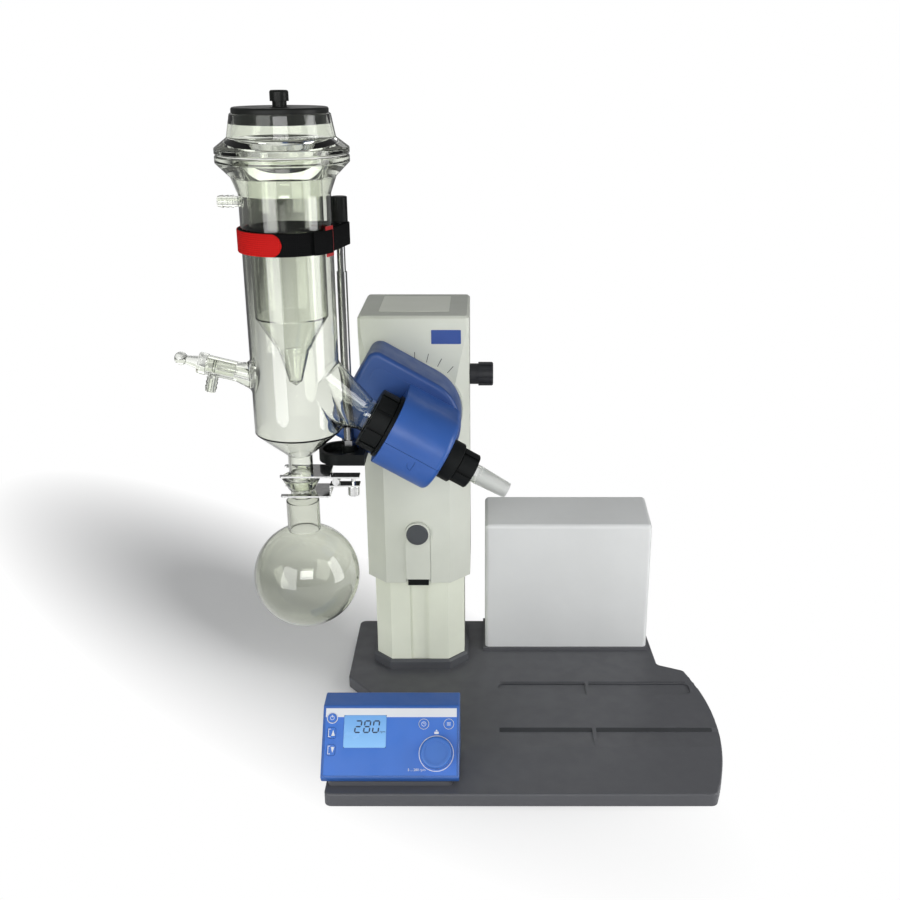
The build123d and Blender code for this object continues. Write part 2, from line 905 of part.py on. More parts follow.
def side_at(y):
    """Plane along the drive axis, at a depth y from the operator."""
    return side_plane.offset(axis_y - y)


with BuildPart() as rear_housing:
    with BuildSketch(side_at(housing_front)) as housing_side:
        Circle(housing_radius)
        with Locations((-housing_reach / 2, 0)):
            Rectangle(housing_reach, 2 * housing_radius)
        fillet(housing_side.vertices().group_by(Axis.X)[0], housing_corner)
    extrude(amount=-housing_depth)
    fillet(rear_housing.faces().sort_by(Axis.Y)[0].edges(), housing_edge)
    with BuildSketch(side_at(housing_front + housing_wall)) as housing_room:
        Circle(housing_radius - housing_wall)
        with Locations((-housing_reach / 2, 0)):
            Rectangle(housing_reach - 2 * housing_wall, 2 * (housing_radius - housing_wall))
        fillet(housing_room.vertices().group_by(Axis.X)[0], housing_corner - housing_wall)
    extrude(amount=2 * housing_wall - housing_depth, mode=Mode.SUBTRACT)
    # pivot bearing and the way through for the belt
    tube(pivot_plane, housing_back - pivot_depth - housing_wall, housing_back, pivot_boss_radius)
    tube(
        pivot_plane,
        housing_back - pivot_depth - play,
        housing_back,
        pivot_radius + run_fit,
        mode=Mode.SUBTRACT,
    )
    with BuildSketch(side_at(housing_front)):
        with Locations((window_start + window_length / 2, 0)):
            Rectangle(window_length, 2 * window_half)
    extrude(amount=-housing_wall, mode=Mode.SUBTRACT)
finish(rear_housing, "rear_housing")

# Drive body, round at the front and square at the back, parted below the axis
with BuildPart() as body_whole:
    with BuildSketch(drive_plane.offset(body_start)):
        Circle(body_radius)
        with Locations((body_back / 2, 0)):
            Rectangle(body_back, 2 * body_radius)
    extrude(amount=body_length)
    end_edges = body_whole.faces().sort_by(drive_axis)[-1].edges()
    fillet(end_edges.filter_by(lambda e: e.center().Y < housing_front - 1), body_edge)
    with BuildSketch(drive_plane.offset(body_start + body_end_wall)):
        Circle(body_radius - body_wall)
        with Locations((body_back / 2, 0)):
            Rectangle(body_back, 2 * (body_radius - body_wall))
    extrude(amount=body_length - 2 * body_end_wall, mode=Mode.SUBTRACT)
    tube(drive_plane, body_start, body_start + body_end_wall, sleeve_radius + seat_fit, mode=Mode.SUBTRACT)
    tube(drive_plane, body_end - body_end_wall, body_end, shaft_radius + play, mode=Mode.SUBTRACT)

seam_plane = Plane(origin=pivot - drive_up * seam_drop, x_dir=drive_dir, z_dir=drive_up)
lock_out = Vector(0, -cos(radians(lock_angle)), 0) - drive_up * sin(radians(lock_angle))
lock_plane = Plane(origin=pivot + drive_dir * lock_x, x_dir=drive_dir, z_dir=lock_out)

with BuildPart() as drive_body:
    add(body_whole.part)
    split(bisect_by=seam_plane.offset(seam / 2), keep=Keep.TOP)
finish(drive_body, "drive_body")

with BuildPart() as drive_lower_cover:
    add(body_whole.part)
    split(bisect_by=seam_plane.offset(-seam / 2), keep=Keep.BOTTOM)
    # half-moon opening of the shaft lock
    with BuildSketch(lock_plane.offset(body_radius - 2 * body_wall)):
        Circle(lock_radius + play)
        with Locations((lock_radius + 2 * play, 0)):
            Rectangle(2 * (lock_radius + play), 2 * (lock_radius + play), mode=Mode.SUBTRACT)
    extrude(amount=3 * body_wall, mode=Mode.SUBTRACT)
finish(drive_lower_cover, "drive_lower_cover")

with BuildPart() as lock_button:
    with BuildSketch(lock_plane.offset(body_radius - lock_sunk)):
        Circle(lock_radius)
        with Locations((lock_radius, 0)):
            Rectangle(2 * lock_radius, 2 * lock_radius, mode=Mode.SUBTRACT)
    extrude(amount=sleeve_radius + lock_travel + play - body_radius + lock_sunk)
finish(lock_button, "lock_button")

# Bearing carrier: flange and threaded spigot outside, bearing sleeve inside
carrier_start = body_start - carrier_flange
spigot_start = carrier_start - spigot_length
web_end = body_start + body_end_wall
sleeve_end = body_end - body_end_wall

with BuildPart() as bearing_carrier:
    tube(drive_plane, spigot_start, carrier_start, spigot_radius)
    tube(drive_plane, carrier_start, body_start, carrier_flange_radius)
    tube(drive_plane, body_start, sleeve_end, sleeve_radius)
    tube(drive_plane, spigot_start, web_end, shaft_radius + seal_proud, mode=Mode.SUBTRACT)
    tube(drive_plane, web_end, sleeve_end, bearing_radius, mode=Mode.SUBTRACT)
    with BuildSketch(drive_plane.offset(window_start)):
        with Locations((sleeve_radius, 0)):
            Rectangle(2 * sleeve_radius, 3 * sleeve_radius)
    extrude(amount=window_length, mode=Mode.SUBTRACT)
finish(bearing_carrier, "bearing_carrier")

with BuildPart() as shaft_bearings:
    for bearing_at in (web_end + bearing_inset, sleeve_end - bearing_inset - bearing_width):
        tube(
            drive_plane,
            bearing_at,
            bearing_at + bearing_width,
            bearing_radius - seat_fit,
            shaft_radius + run_fit,
        )
finish(shaft_bearings, "shaft_bearings")

seal_start = spigot_start - seal_proud
with BuildPart() as shaft_seal:
    tube(
        drive_plane,
        seal_start,
        seal_start + seal_thickness,
        shaft_radius + seal_proud - seat_fit,
        tube_radius + run_fit,
    )
finish(shaft_seal, "shaft_seal")

# Rotor
collar_start = body_end + play
collar_end = collar_start + collar_length
push_nut_start = collar_end + play
push_nut_end = push_nut_start + push_nut_length

with BuildPart() as hollow_shaft:
    tube(drive_plane, seal_start + seal_thickness + play, collar_end, shaft_radius)
    tube(drive_plane, collar_end, collar_end + shaft_stub_length, shaft_stub_radius)
    tube(
        drive_plane,
        seal_start + seal_thickness + play,
        collar_end + shaft_stub_length,
        tube_radius + run_fit,
        mode=Mode.SUBTRACT,
    )
finish(hollow_shaft, "hollow_shaft")

with BuildPart() as shaft_pulley:
    tube(drive_plane, pulley_start, pulley_start + pulley_width, pulley_radius, shaft_radius + seat_fit)
finish(shaft_pulley, "shaft_pulley")

with BuildPart() as shaft_collar:
    tube(drive_plane, collar_start, collar_end, collar_radius)
    chamfer(shaft_collar.edges(), soft_edge)
    tube(drive_plane, collar_start, collar_end, shaft_radius + seat_fit, mode=Mode.SUBTRACT)
finish(shaft_collar, "shaft_collar")

with BuildPart() as push_off_nut:
    tube(drive_plane, push_nut_start, push_nut_end, push_nut_radius)
    chamfer(push_off_nut.edges(), soft_edge)
    with BuildSketch(drive_plane.offset(push_nut_start)):
        with PolarLocations(push_nut_radius, push_nut_slots):
            Rectangle(2 * push_nut_slot_depth, push_nut_slot)
    extrude(amount=push_nut_length, mode=Mode.SUBTRACT)
    tube(
        drive_plane,
        push_nut_start,
        collar_end + shaft_stub_length + play,
        shaft_stub_radius + run_fit,
        mode=Mode.SUBTRACT,
    )
    tube(drive_plane, push_nut_start, push_nut_end, tube_radius + play, mode=Mode.SUBTRACT)
finish(push_off_nut, "push_off_nut")

with BuildPart() as vapour_tube:
    turned(
        side_plane,
        drive_axis,
        [
            (tube_start, tube_radius),
            (cone_start, tube_radius),
            (cone_start + cone_length, cone_tip_radius),
            (cone_start + cone_length, cone_tip_radius - tube_wall),
            (cone_start, tube_radius - tube_wall),
            (tube_start, tube_radius - tube_wall),
        ],
    )
finish(vapour_tube, "vapour_tube")

# Belt drive inside the head
belt_reach = motor_y - axis_y
motor_plane = Plane(origin=pivot + Vector(0, belt_reach, 0), x_dir=(0, 1, 0), z_dir=drive_dir)
motor_radius = motor_y - housing_front - housing_wall - play
motor_end = -pivot_boss_radius - motor_gap
motor_start = housing_wall + motor_end_gap - housing_reach

with BuildPart() as drive_motor:
    tube(motor_plane, motor_start, motor_end, motor_radius)
    tube(
        motor_plane,
        motor_end - motor_stem_seat - play,
        motor_end,
        motor_stem_radius + run_fit,
        mode=Mode.SUBTRACT,
    )
finish(drive_motor, "drive_motor")

with BuildPart() as motor_pulley:
    tube(motor_plane, motor_end - motor_stem_seat, pulley_start, motor_stem_radius)
    tube(motor_plane, pulley_start, pulley_start + pulley_width, motor_pulley_radius)
finish(motor_pulley, "motor_pulley")

with BuildPart() as drive_belt:
    with BuildSketch(drive_plane.offset(pulley_start + belt_inset)):
        Circle(pulley_radius + belt_play + belt_thickness)
        with Locations((belt_reach, 0)):
            Circle(motor_pulley_radius + belt_play + belt_thickness)
        make_hull()
    extrude(amount=pulley_width - 2 * belt_inset)
    with BuildSketch(drive_plane.offset(pulley_start + belt_inset)):
        Circle(pulley_radius + belt_play)
        with Locations((belt_reach, 0)):
            Circle(motor_pulley_radius + belt_play)
        make_hull()
    extrude(amount=pulley_width - 2 * belt_inset, mode=Mode.SUBTRACT)
finish(drive_belt, "drive_belt")

# Condenser nut on the carrier's spigot
glass_back = seal_start - arm_flange
lip_start = glass_back - play
nut_start = lip_start - nut_lip
nut_end = carrier_start - play

with BuildPart() as condenser_nut:
    tube(drive_plane, nut_start, nut_end, nut_ring_radius)
    chamfer(condenser_nut.edges(), soft_edge)
    with BuildSketch(drive_plane.offset(nut_start)):
        with PolarLocations(nut_ring_radius, nut_lands):
            Rectangle(2 * nut_land_depth, nut_land_gap)
    extrude(amount=nut_end - nut_start, mode=Mode.SUBTRACT)
    tube(drive_plane, lip_start, nut_end, spigot_radius + run_fit, mode=Mode.SUBTRACT)
    tube(drive_plane, nut_start, lip_start, arm_radius + nut_arm_room, mode=Mode.SUBTRACT)
finish(condenser_nut, "condenser_nut")

# Condenser jacket: one blown piece with the drive arm, the stopcock arm and a hose nozzle
jacket_flare_start = jacket_bottom + jacket_length
jacket_flare_top = jacket_flare_start + jacket_flare
jacket_flange_low = jacket_flare_top + jacket_flange_slope
jacket_top = jacket_flange_low + jacket_flange
jacket_left = condenser_x - jacket_radius / 2
top_nozzle_z = jacket_flare_start - top_nozzle_drop
arm_root = glass_back - arm_neck
arm_end = arm_root - arm_cone_length
cock_dir = Vector(-cos(radians(cock_angle)), 0, sin(radians(cock_angle)))
cock_down = Vector(-sin(radians(cock_angle)), 0, -cos(radians(cock_angle)))
cock_reach = (condenser_x - cock_ball_x) / cos(radians(cock_angle))
cock_z = cock_ball_z - (condenser_x - cock_ball_x) * tan(radians(cock_angle))
cock_root = Vector(condenser_x, axis_y, cock_z)
cock_plane = Plane(origin=cock_root, x_dir=(0, 1, 0), z_dir=cock_dir)
cock_side = Plane(origin=cock_root, x_dir=cock_dir, z_dir=(0, -1, 0))
cock_axis = Axis(cock_root, cock_dir)
cock_nozzle_plane = Plane(
    origin=cock_root + cock_dir * cock_nozzle_at, x_dir=(0, 1, 0), z_dir=cock_down
)
cock_nozzle_end = cock_radius + cock_nozzle_length
top_nozzle_plane = Plane(origin=(condenser_x, axis_y, top_nozzle_z), x_dir=(0, 1, 0), z_dir=(-1, 0, 0))


def hose_barbs(plane, end):
    """Rings of a hose nozzle, sloping down to its mouth."""
    for barb in range(barb_count):
        with Locations(plane.offset(end - (barb + 1) * barb_length).location):
            Cone(
                nozzle_radius + barb_height,
                nozzle_radius,
                barb_length,
                align=(Align.CENTER, Align.CENTER, Align.MIN),
            )


def blown_joins(part):
    """Edges where an arm or a nozzle runs into the jacket."""
    plain = (GeomType.LINE, GeomType.CIRCLE)
    joins = part.edges().filter_by(lambda edge: edge.geom_type not in plain)
    return joins.filter_by(lambda edge: edge.center().X > condenser_x - jacket_radius - play)


with BuildPart() as condenser_jacket:
    turned(
        glass_plane,
        glass_axis,
        [
            (0, ball_z),
            (jacket_neck_radius, ball_z),
            (jacket_neck_radius, jacket_neck_top),
            (jacket_radius, jacket_bottom),
            (jacket_radius, jacket_flare_start),
            (jacket_flare_radius, jacket_flare_top),
            (flange_radius, jacket_flange_low),
            (flange_radius, jacket_top),
            (0, jacket_top),
        ],
        rounding=glass_rounding,
    )
    with Locations((condenser_x, axis_y, ball_z)):
        Sphere(ball_radius)
    tube(drive_plane, glass_back, seal_start, arm_flange_radius)
    tube(drive_plane, arm_root, glass_back, arm_radius)
    turned(
        side_plane,
        drive_axis,
        [(arm_root, 0), (arm_root, arm_radius), (arm_end, arm_cone_radius), (arm_end, 0)],
    )
    tube(cock_plane, 0, cock_body_end, cock_radius)
    turned(
        cock_side,
        cock_axis,
        [
            (0, 0),
            (0, cock_flare_radius),
            (cock_flare_start, cock_flare_radius),
            (cock_flare_end, cock_radius),
            (cock_flare_end, 0),
        ],
    )
    tube(cock_nozzle_plane, 0, cock_nozzle_end, nozzle_radius)
    hose_barbs(cock_nozzle_plane, cock_nozzle_end)
    tube(top_nozzle_plane, 0, top_nozzle_reach, nozzle_radius)
    hose_barbs(top_nozzle_plane, top_nozzle_reach)
    for chosen, rounding in (
        (lambda at: at.X > condenser_x, arm_join),
        (lambda at: at.X < jacket_left and at.Z < jacket_flare_start - jacket_radius, cock_join),
        (lambda at: at.X < jacket_left and at.Z > jacket_flare_start - jacket_radius, nozzle_join),
    ):
        joins = blown_joins(condenser_jacket.part).filter_by(lambda edge: chosen(edge.center()))
        fillet(joins, rounding)
    # inside of the jacket and of its arms
    turned(
        glass_plane,
        glass_axis,
        [
            (0, ball_z),
            (jacket_neck_radius - glass_wall, ball_z),
            (jacket_neck_radius - glass_wall, jacket_neck_top + glass_wall / 2),
            (jacket_radius - glass_wall, jacket_bottom + glass_wall / 2),
            (jacket_radius - glass_wall, jacket_flare_start + glass_wall),
            (flange_bore, jacket_flare_top + glass_wall),
            (flange_bore, jacket_top),
            (0, jacket_top),
        ],
        mode=Mode.SUBTRACT,
    )
    tube(glass_up, ball_z - ball_radius, ball_z, ball_bore, mode=Mode.SUBTRACT)
    tube(glass_up, ball_z - ball_radius, ball_z - ball_cut, ball_radius, mode=Mode.SUBTRACT)
    tube(drive_plane, arm_root, seal_start, arm_radius - glass_wall, mode=Mode.SUBTRACT)
    turned(
        side_plane,
        drive_axis,
        [
            (arm_root, 0),
            (arm_root, arm_radius - glass_wall),
            (arm_end, arm_cone_radius - glass_wall),
            (arm_end, 0),
        ],
        mode=Mode.SUBTRACT,
    )
    tube(cock_plane, 0, cock_plug_start, cock_bore, mode=Mode.SUBTRACT)
    tube(cock_plane, cock_plug_start, cock_body_end, cock_plug_radius + run_fit, mode=Mode.SUBTRACT)
    tube(cock_nozzle_plane, 0, cock_nozzle_end, nozzle_bore, mode=Mode.SUBTRACT)
    tube(top_nozzle_plane, 0, top_nozzle_reach, nozzle_bore, mode=Mode.SUBTRACT)
finish(condenser_jacket, "condenser_jacket")

disc_start = cock_body_end + play
ball_start = cock_reach - (cock_ball_radius**2 - cock_neck_radius**2) ** 0.5
with BuildPart() as stopcock_key:
    with BuildSketch(cock_side):
        with BuildLine():
            Polyline(
                (cock_reach + cock_ball_radius, 0),
                (cock_plug_start + play, 0),
                (cock_plug_start + play, cock_plug_radius),
                (disc_start, cock_plug_radius),
                (disc_start, cock_disc_radius),
                (disc_start + cock_disc, cock_disc_radius),
                (disc_start + cock_disc, cock_ball_radius),
                (ball_start, cock_neck_radius),
            )
            ThreePointArc(
                (ball_start, cock_neck_radius),
                (cock_reach, cock_ball_radius),
                (cock_reach + cock_ball_radius, 0),
            )
        make_face()
    revolve(axis=cock_axis)
    tube(cock_nozzle_plane, -cock_plug_radius, cock_plug_radius, cock_key_bore, mode=Mode.SUBTRACT)
finish(stopcock_key, "stopcock_key")

# Cold finger, hung in the jacket by its flange
seal_top = jacket_top + flange_seal
finger_waist_z = seal_top + finger_flange + finger_waist
rim_z = finger_waist_z + rim_height
finger_shoulder = seal_top - finger_shoulder_drop
finger_cone_start = finger_shoulder - finger_length
finger_mid = finger_cone_start - finger_cone / 2
finger_tip = finger_cone_start - finger_cone
with BuildPart() as flange_seal_ring:
    seal_bore = flange_bore + flange_seal_inset
    tube(glass_up, jacket_top, seal_top, seal_bore + flange_seal_width, seal_bore)
finish(flange_seal_ring, "flange_seal")

with BuildPart() as cold_finger:
    turned(
        glass_plane,
        glass_axis,
        [
            (0, finger_tip),
            (finger_tip_radius, finger_tip + finger_tip_rise),
            (finger_mid_radius, finger_mid),
            (finger_radius, finger_cone_start),
            (finger_radius, finger_shoulder),
            (flange_bore - glass_wall, seal_top),
            (flange_radius, seal_top),
            (flange_radius, seal_top + finger_flange),
            (finger_waist_radius, finger_waist_z),
            (rim_radius, rim_z),
            (0, rim_z),
        ],
        rounding=glass_rounding,
    )
    turned(
        glass_plane,
        glass_axis,
        [
            (0, finger_tip + glass_wall),
            (finger_tip_radius - glass_wall / 2, finger_tip + finger_tip_rise + glass_wall),
            (finger_mid_radius - glass_wall, finger_mid + glass_wall / 2),
            (finger_radius - glass_wall, finger_cone_start + glass_wall / 2),
            (finger_radius - glass_wall, finger_shoulder + glass_wall),
            (finger_waist_radius - 2 * glass_wall, finger_waist_z),
            (rim_bore, rim_z - lid_plug_depth),
            (rim_bore, rim_z),
            (0, rim_z),
        ],
        mode=Mode.SUBTRACT,
    )
finish(cold_finger, "cold_finger")

with BuildPart() as lid:
    lid_seat = rim_z + play
    tube(glass_up, lid_seat, lid_seat + lid_thickness, lid_radius)
    fillet(lid.faces().sort_by(Axis.Z)[-1].edges(), hand_edge)
    tube(glass_up, rim_z - lid_plug_depth, lid_seat, rim_bore - lid_plug_gap)
finish(lid, "lid")

with BuildPart() as lid_knob:
    lid_top = lid_seat + lid_thickness
    tube(glass_up, lid_top, lid_top + knob_neck, knob_neck_radius)
    tube(glass_up, lid_top + knob_neck, lid_top + knob_height, knob_radius)
    fillet(lid_knob.faces().sort_by(Axis.Z)[-1].edges(), hand_edge)
finish(lid_knob, "lid_knob")

# Receiving flask: its bulb, and its neck with the cup of the ball joint, fused on at a hair seam
cup_top = ball_z + cup_rise
neck_bore = flask_neck_radius - glass_wall
seam_z = flask_z + sqrt(flask_radius**2 - flask_neck_radius**2)
with BuildPart() as receiving_flask:
    with Locations((condenser_x, axis_y, flask_z)):
        Sphere(flask_radius)
        Sphere(flask_radius - flask_wall, mode=Mode.SUBTRACT)
    tube(glass_up, seam_z, flask_z + flask_radius, flask_neck_radius + play, mode=Mode.SUBTRACT)
    tube(glass_up, flask_z, seam_z, neck_bore, mode=Mode.SUBTRACT)
finish(receiving_flask, "receiving_flask")

with BuildPart() as flask_neck:
    turned(
        glass_plane,
        glass_axis,
        [
            (0, seam_z + seat_fit),
            (flask_neck_radius, seam_z + seat_fit),
            (flask_neck_radius, flask_neck_top),
            (waist_radius, waist_bottom),
            (waist_radius, waist_top),
            (cup_foot_radius, cup_top - cup_height),
            (cup_radius, cup_top),
            (0, cup_top),
        ],
    )
    turned(
        glass_plane,
        glass_axis,
        [
            (0, seam_z),
            (neck_bore, seam_z),
            (neck_bore, flask_neck_top - glass_wall / 2),
            (waist_bore, waist_bottom),
            (waist_bore, cup_top),
            (0, cup_top),
        ],
        mode=Mode.SUBTRACT,
    )
    with Locations((condenser_x, axis_y, ball_z)):
        Sphere(ball_radius + play, mode=Mode.SUBTRACT)
finish(flask_neck, "flask_neck")

# Fork clamp of the ball joint: two sprung forks on a knuckle, closed by a screw
upper_tail_z = upper_fork_z - tail_drop
lower_tail_z = lower_fork_z + tail_rise
knuckle_z = (upper_tail_z + lower_tail_z + fork_thickness) / 2
knuckle_radius = (upper_tail_z - lower_tail_z - fork_thickness) / 2 - seat_fit
knuckle_plane = Plane(
    origin=(condenser_x + knuckle_at, axis_y, knuckle_z), x_dir=(1, 0, 0), z_dir=(0, 1, 0)
)


def fork(z, slot_radius, tail_z):
    """Fork blade round a neck, with a cranked tail to the right."""
    with BuildSketch(glass_up.offset(z)) as blade:
        with Locations(((fork_root - fork_tip) / 2, 0)):
            RectangleRounded(fork_root + fork_tip, 2 * fork_half_width, fork_corner)
        Circle(slot_radius, mode=Mode.SUBTRACT)
        with Locations((-fork_tip / 2, 0)):
            Rectangle(fork_tip, 2 * slot_radius, mode=Mode.SUBTRACT)
    extrude(blade.sketch, amount=fork_thickness)
    with BuildSketch(glass_up.offset(min(z, tail_z))) as web:
        with Locations((fork_root - fork_thickness / 2, 0)):
            Rectangle(fork_thickness, 2 * tail_half_width)
    extrude(web.sketch, amount=abs(z - tail_z) + fork_thickness)
    with BuildSketch(glass_up.offset(tail_z)) as tail:
        with Locations(((fork_root + tail_end) / 2 - fork_thickness / 2, 0)):
            Rectangle(tail_end - fork_root + fork_thickness, 2 * tail_half_width)
    extrude(tail.sketch, amount=fork_thickness)


screw_plane = Plane(origin=(condenser_x + screw_at, axis_y, 0))
with BuildPart() as clamp_forks:
    fork(upper_fork_z, jacket_neck_radius + 2 * play, upper_tail_z)
    tube(knuckle_plane, -tail_half_width, tail_half_width, knuckle_radius)
    with BuildSketch(glass_up.offset(knuckle_z)) as knuckle_web:
        with Locations((knuckle_at, 0)):
            Rectangle(knuckle_radius, 2 * tail_half_width)
    extrude(knuckle_web.sketch, amount=upper_tail_z - knuckle_z)
    fork(lower_fork_z, waist_radius + 2 * play, lower_tail_z)
    tube(
        screw_plane, lower_tail_z, lower_tail_z + fork_thickness, screw_radius + run_fit, mode=Mode.SUBTRACT
    )
finish(clamp_forks, "clamp_forks")

with BuildPart() as clamp_screw:
    tube(screw_plane, lower_tail_z - play - screw_knob, lower_tail_z - play, screw_knob_radius)
    fillet(clamp_screw.edges(), soft_edge)
    with BuildSketch(screw_plane.offset(lower_tail_z - play - screw_knob)):
        with PolarLocations(screw_knob_radius, grip_count):
            Rectangle(grip_depth, grip_depth)
    extrude(amount=screw_knob, mode=Mode.SUBTRACT)
    tube(screw_plane, lower_tail_z - play, upper_tail_z - play, screw_radius)
finish(clamp_screw, "clamp_screw")

# Condenser holder: a dished bracket under the rear housing carries a rod and a strap
holder_up = Plane(origin=(holder_x, holder_y, 0))
dish_top = dish_z + dish_height
with BuildPart() as holder_bracket:
    with BuildSketch(Plane.XY.offset(dish_z)):
        with Locations((dish_x, holder_y)):
            Circle(dish_radius)
        with Locations(((dish_x + dish_right) / 2, holder_y)):
            Rectangle(dish_right - dish_x, 2 * dish_radius)
    extrude(amount=dish_height)
    with BuildSketch(Plane.XY.offset(dish_z + dish_floor)):
        with Locations((dish_x, holder_y)):
            Circle(dish_radius - dish_wall)
    extrude(amount=dish_height - dish_floor, mode=Mode.SUBTRACT)
    # hub of the rod
    tube(holder_up, dish_z + dish_floor, dish_top + hub_height, hub_radius)
    chamfer(holder_bracket.faces().sort_by(Axis.Z)[-1].edges(), soft_edge)
    tube(holder_up, dish_top, dish_top + hub_height, holder_tube_radius + seat_fit, mode=Mode.SUBTRACT)
    # foot under the rear housing, and the bracket cut to the housing's outline
    with BuildSketch(side_at(holder_y + holder_block_front)):
        with Locations(
            (holder_block_start + holder_block_length / 2, -housing_radius - holder_block_depth / 2)
        ):
            Rectangle(holder_block_length, holder_block_depth)
    extrude(amount=holder_block_front - holder_block_rear)
    with BuildSketch(side_at(housing_front - play)):
        with Locations((-housing_reach / 2, 0)):
            Rectangle(2 * housing_reach, 2 * housing_radius)
    extrude(amount=-housing_depth, mode=Mode.SUBTRACT)
finish(holder_bracket, "holder_bracket")

with BuildPart() as holder_tube:
    tube(holder_up, dish_top, holder_tube_top, holder_tube_radius)
    with BuildSketch(holder_up.offset(dish_top + hub_height)):
        RegularPolygon(holder_nut_width / 2, 6, major_radius=False)
    extrude(amount=holder_nut)
    tube(
        holder_up,
        holder_tube_top - holder_rod_seat,
        holder_tube_top,
        holder_rod_radius + seat_fit,
        mode=Mode.SUBTRACT,
    )
finish(holder_tube, "holder_tube")

cap_z = strap_z + (strap_width + block_height) / 2 + cap_gap
with BuildPart() as holder_rod:
    tube(holder_up, holder_tube_top - holder_rod_seat, cap_z + cap_height / 2, holder_rod_radius)
finish(holder_rod, "holder_rod")

with BuildPart() as strap_block:
    with BuildSketch(Plane.XY.offset(strap_z + (strap_width - block_height) / 2)):
        with Locations((holder_x, holder_y)):
            Circle(block_radius)
        with Locations((condenser_x, axis_y)):
            Circle(jacket_radius / 2)
        make_hull()
        with Locations((condenser_x, axis_y)):
            Circle(jacket_radius + strap_room, mode=Mode.SUBTRACT)
        with Locations((holder_x, holder_y)):
            Circle(holder_rod_radius + seat_fit, mode=Mode.SUBTRACT)
    extrude(amount=block_height)
finish(strap_block, "strap_block")

with BuildPart() as strap:
    for loop_room, loop_mode in ((strap_thickness, Mode.ADD), (0, Mode.SUBTRACT)):
        with BuildSketch(Plane.XY.offset(strap_z)):
            with Locations((condenser_x, axis_y)):
                Circle(jacket_radius + strap_room + loop_room)
            with Locations((holder_x, holder_y)):
                Circle(block_radius + strap_room + loop_room)
            make_hull()
        extrude(amount=strap_width, mode=loop_mode)
finish(strap, "strap")

with BuildPart() as holder_cap:
    tube(holder_up, cap_z, cap_z + cap_height, cap_radius)
    fillet(holder_cap.edges(), soft_edge)
    with BuildSketch(holder_up.offset(cap_z + cap_height / 2)):
        with PolarLocations(cap_radius, grip_count):
            Rectangle(grip_depth, grip_depth)
    extrude(amount=cap_height / 2, mode=Mode.SUBTRACT)
    tube(holder_up, cap_z, cap_z + cap_height / 2, holder_rod_radius + seat_fit, mode=Mode.SUBTRACT)
finish(holder_cap, "holder_cap")
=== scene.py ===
from math import atan2, cos, pi, radians, sin, sqrt

import bmesh
import bpy
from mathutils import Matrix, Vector


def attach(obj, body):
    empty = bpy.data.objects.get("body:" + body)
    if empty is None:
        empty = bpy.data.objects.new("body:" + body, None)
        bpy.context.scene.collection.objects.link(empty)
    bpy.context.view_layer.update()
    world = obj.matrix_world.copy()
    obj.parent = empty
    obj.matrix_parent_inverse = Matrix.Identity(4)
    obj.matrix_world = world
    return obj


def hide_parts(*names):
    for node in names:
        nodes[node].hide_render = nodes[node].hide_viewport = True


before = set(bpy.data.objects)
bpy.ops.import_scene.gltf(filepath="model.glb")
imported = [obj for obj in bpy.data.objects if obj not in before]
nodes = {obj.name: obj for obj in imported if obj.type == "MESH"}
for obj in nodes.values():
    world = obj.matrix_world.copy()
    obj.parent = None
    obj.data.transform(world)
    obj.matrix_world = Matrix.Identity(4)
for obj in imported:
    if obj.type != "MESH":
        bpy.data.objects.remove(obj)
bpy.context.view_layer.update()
scene = bpy.context.scene

# Places shared with the solids, in metres
TILT = radians(30)
PIVOT = Vector((-0.060, -0.047, 0.417))
DRIVE = Vector((cos(TILT), 0, -sin(TILT)))
RISE = Vector((sin(TILT), 0, cos(TILT)))
FACE_LOW = Vector((0, -0.2035, 0.034))
FACE_SLOPE = atan2(66, 56.5)
FACE_UP = Vector((0, cos(FACE_SLOPE), sin(FACE_SLOPE)))
FACE_OUT = Vector((0, -sin(FACE_SLOPE), cos(FACE_SLOPE)))
GLASS_XY = Vector((-0.1955, -0.047))
ROD_XY = Vector((-0.1395, -0.006))
CONE_START = 0.097

# Faces that carry trim, in millimetres
BASE_TOP = 20
CARRIAGE_FRONT = 70
CARRIAGE_TOP = 543
HOUSING_FRONT = 3


def on_face(x, t, h=0.0):
    """Point on the control panel's face: across, up the slope and out of it, in millimetres."""
    return FACE_LOW + Vector((x / 1000, 0, 0)) + FACE_UP * (t / 1000) + FACE_OUT * (h / 1000)


def on_front(x, z, h=0.0):
    """Point on the carriage front, in millimetres, h out of it."""
    return Vector((x / 1000, (CARRIAGE_FRONT - h) / 1000, z / 1000))


def on_top(x, y, h=0.0):
    """Point on the carriage top, in millimetres, h above it."""
    return Vector((x / 1000, y / 1000, (CARRIAGE_TOP + h) / 1000))


def on_housing(x, u, h=0.0):
    """Point on the front of the rear housing, along and across the drive axis, in millimetres."""
    p = PIVOT + DRIVE * (x / 1000) + RISE * (u / 1000)
    return Vector((p.x, (HOUSING_FRONT - h) / 1000, p.z))


def on_base(x, y, h=0.0):
    """Point over the base top, in millimetres."""
    return Vector((x / 1000, y / 1000, (BASE_TOP + h) / 1000))


# Materials


def new_material(name):
    """Material with its node tree and main shader."""
    mat = bpy.data.materials.new(name)
    mat.use_nodes = True
    tree = mat.node_tree
    return mat, tree, tree.nodes["Principled BSDF"]


def add_node(tree, kind, **settings):
    """Node whose inputs or properties are set by name."""
    node = tree.nodes.new(kind)
    for key, value in settings.items():
        if key in node.inputs:
            node.inputs[key].default_value = value
        else:
            setattr(node, key, value)
    return node


def noise(tree, scale, detail):
    """Cloudy pattern over the object."""
    place = tree.nodes.new("ShaderNodeTexCoord")
    node = add_node(tree, "ShaderNodeTexNoise", Scale=scale, Detail=float(detail))
    tree.links.new(place.outputs["Object"], node.inputs["Vector"])
    return node.outputs["Fac"]


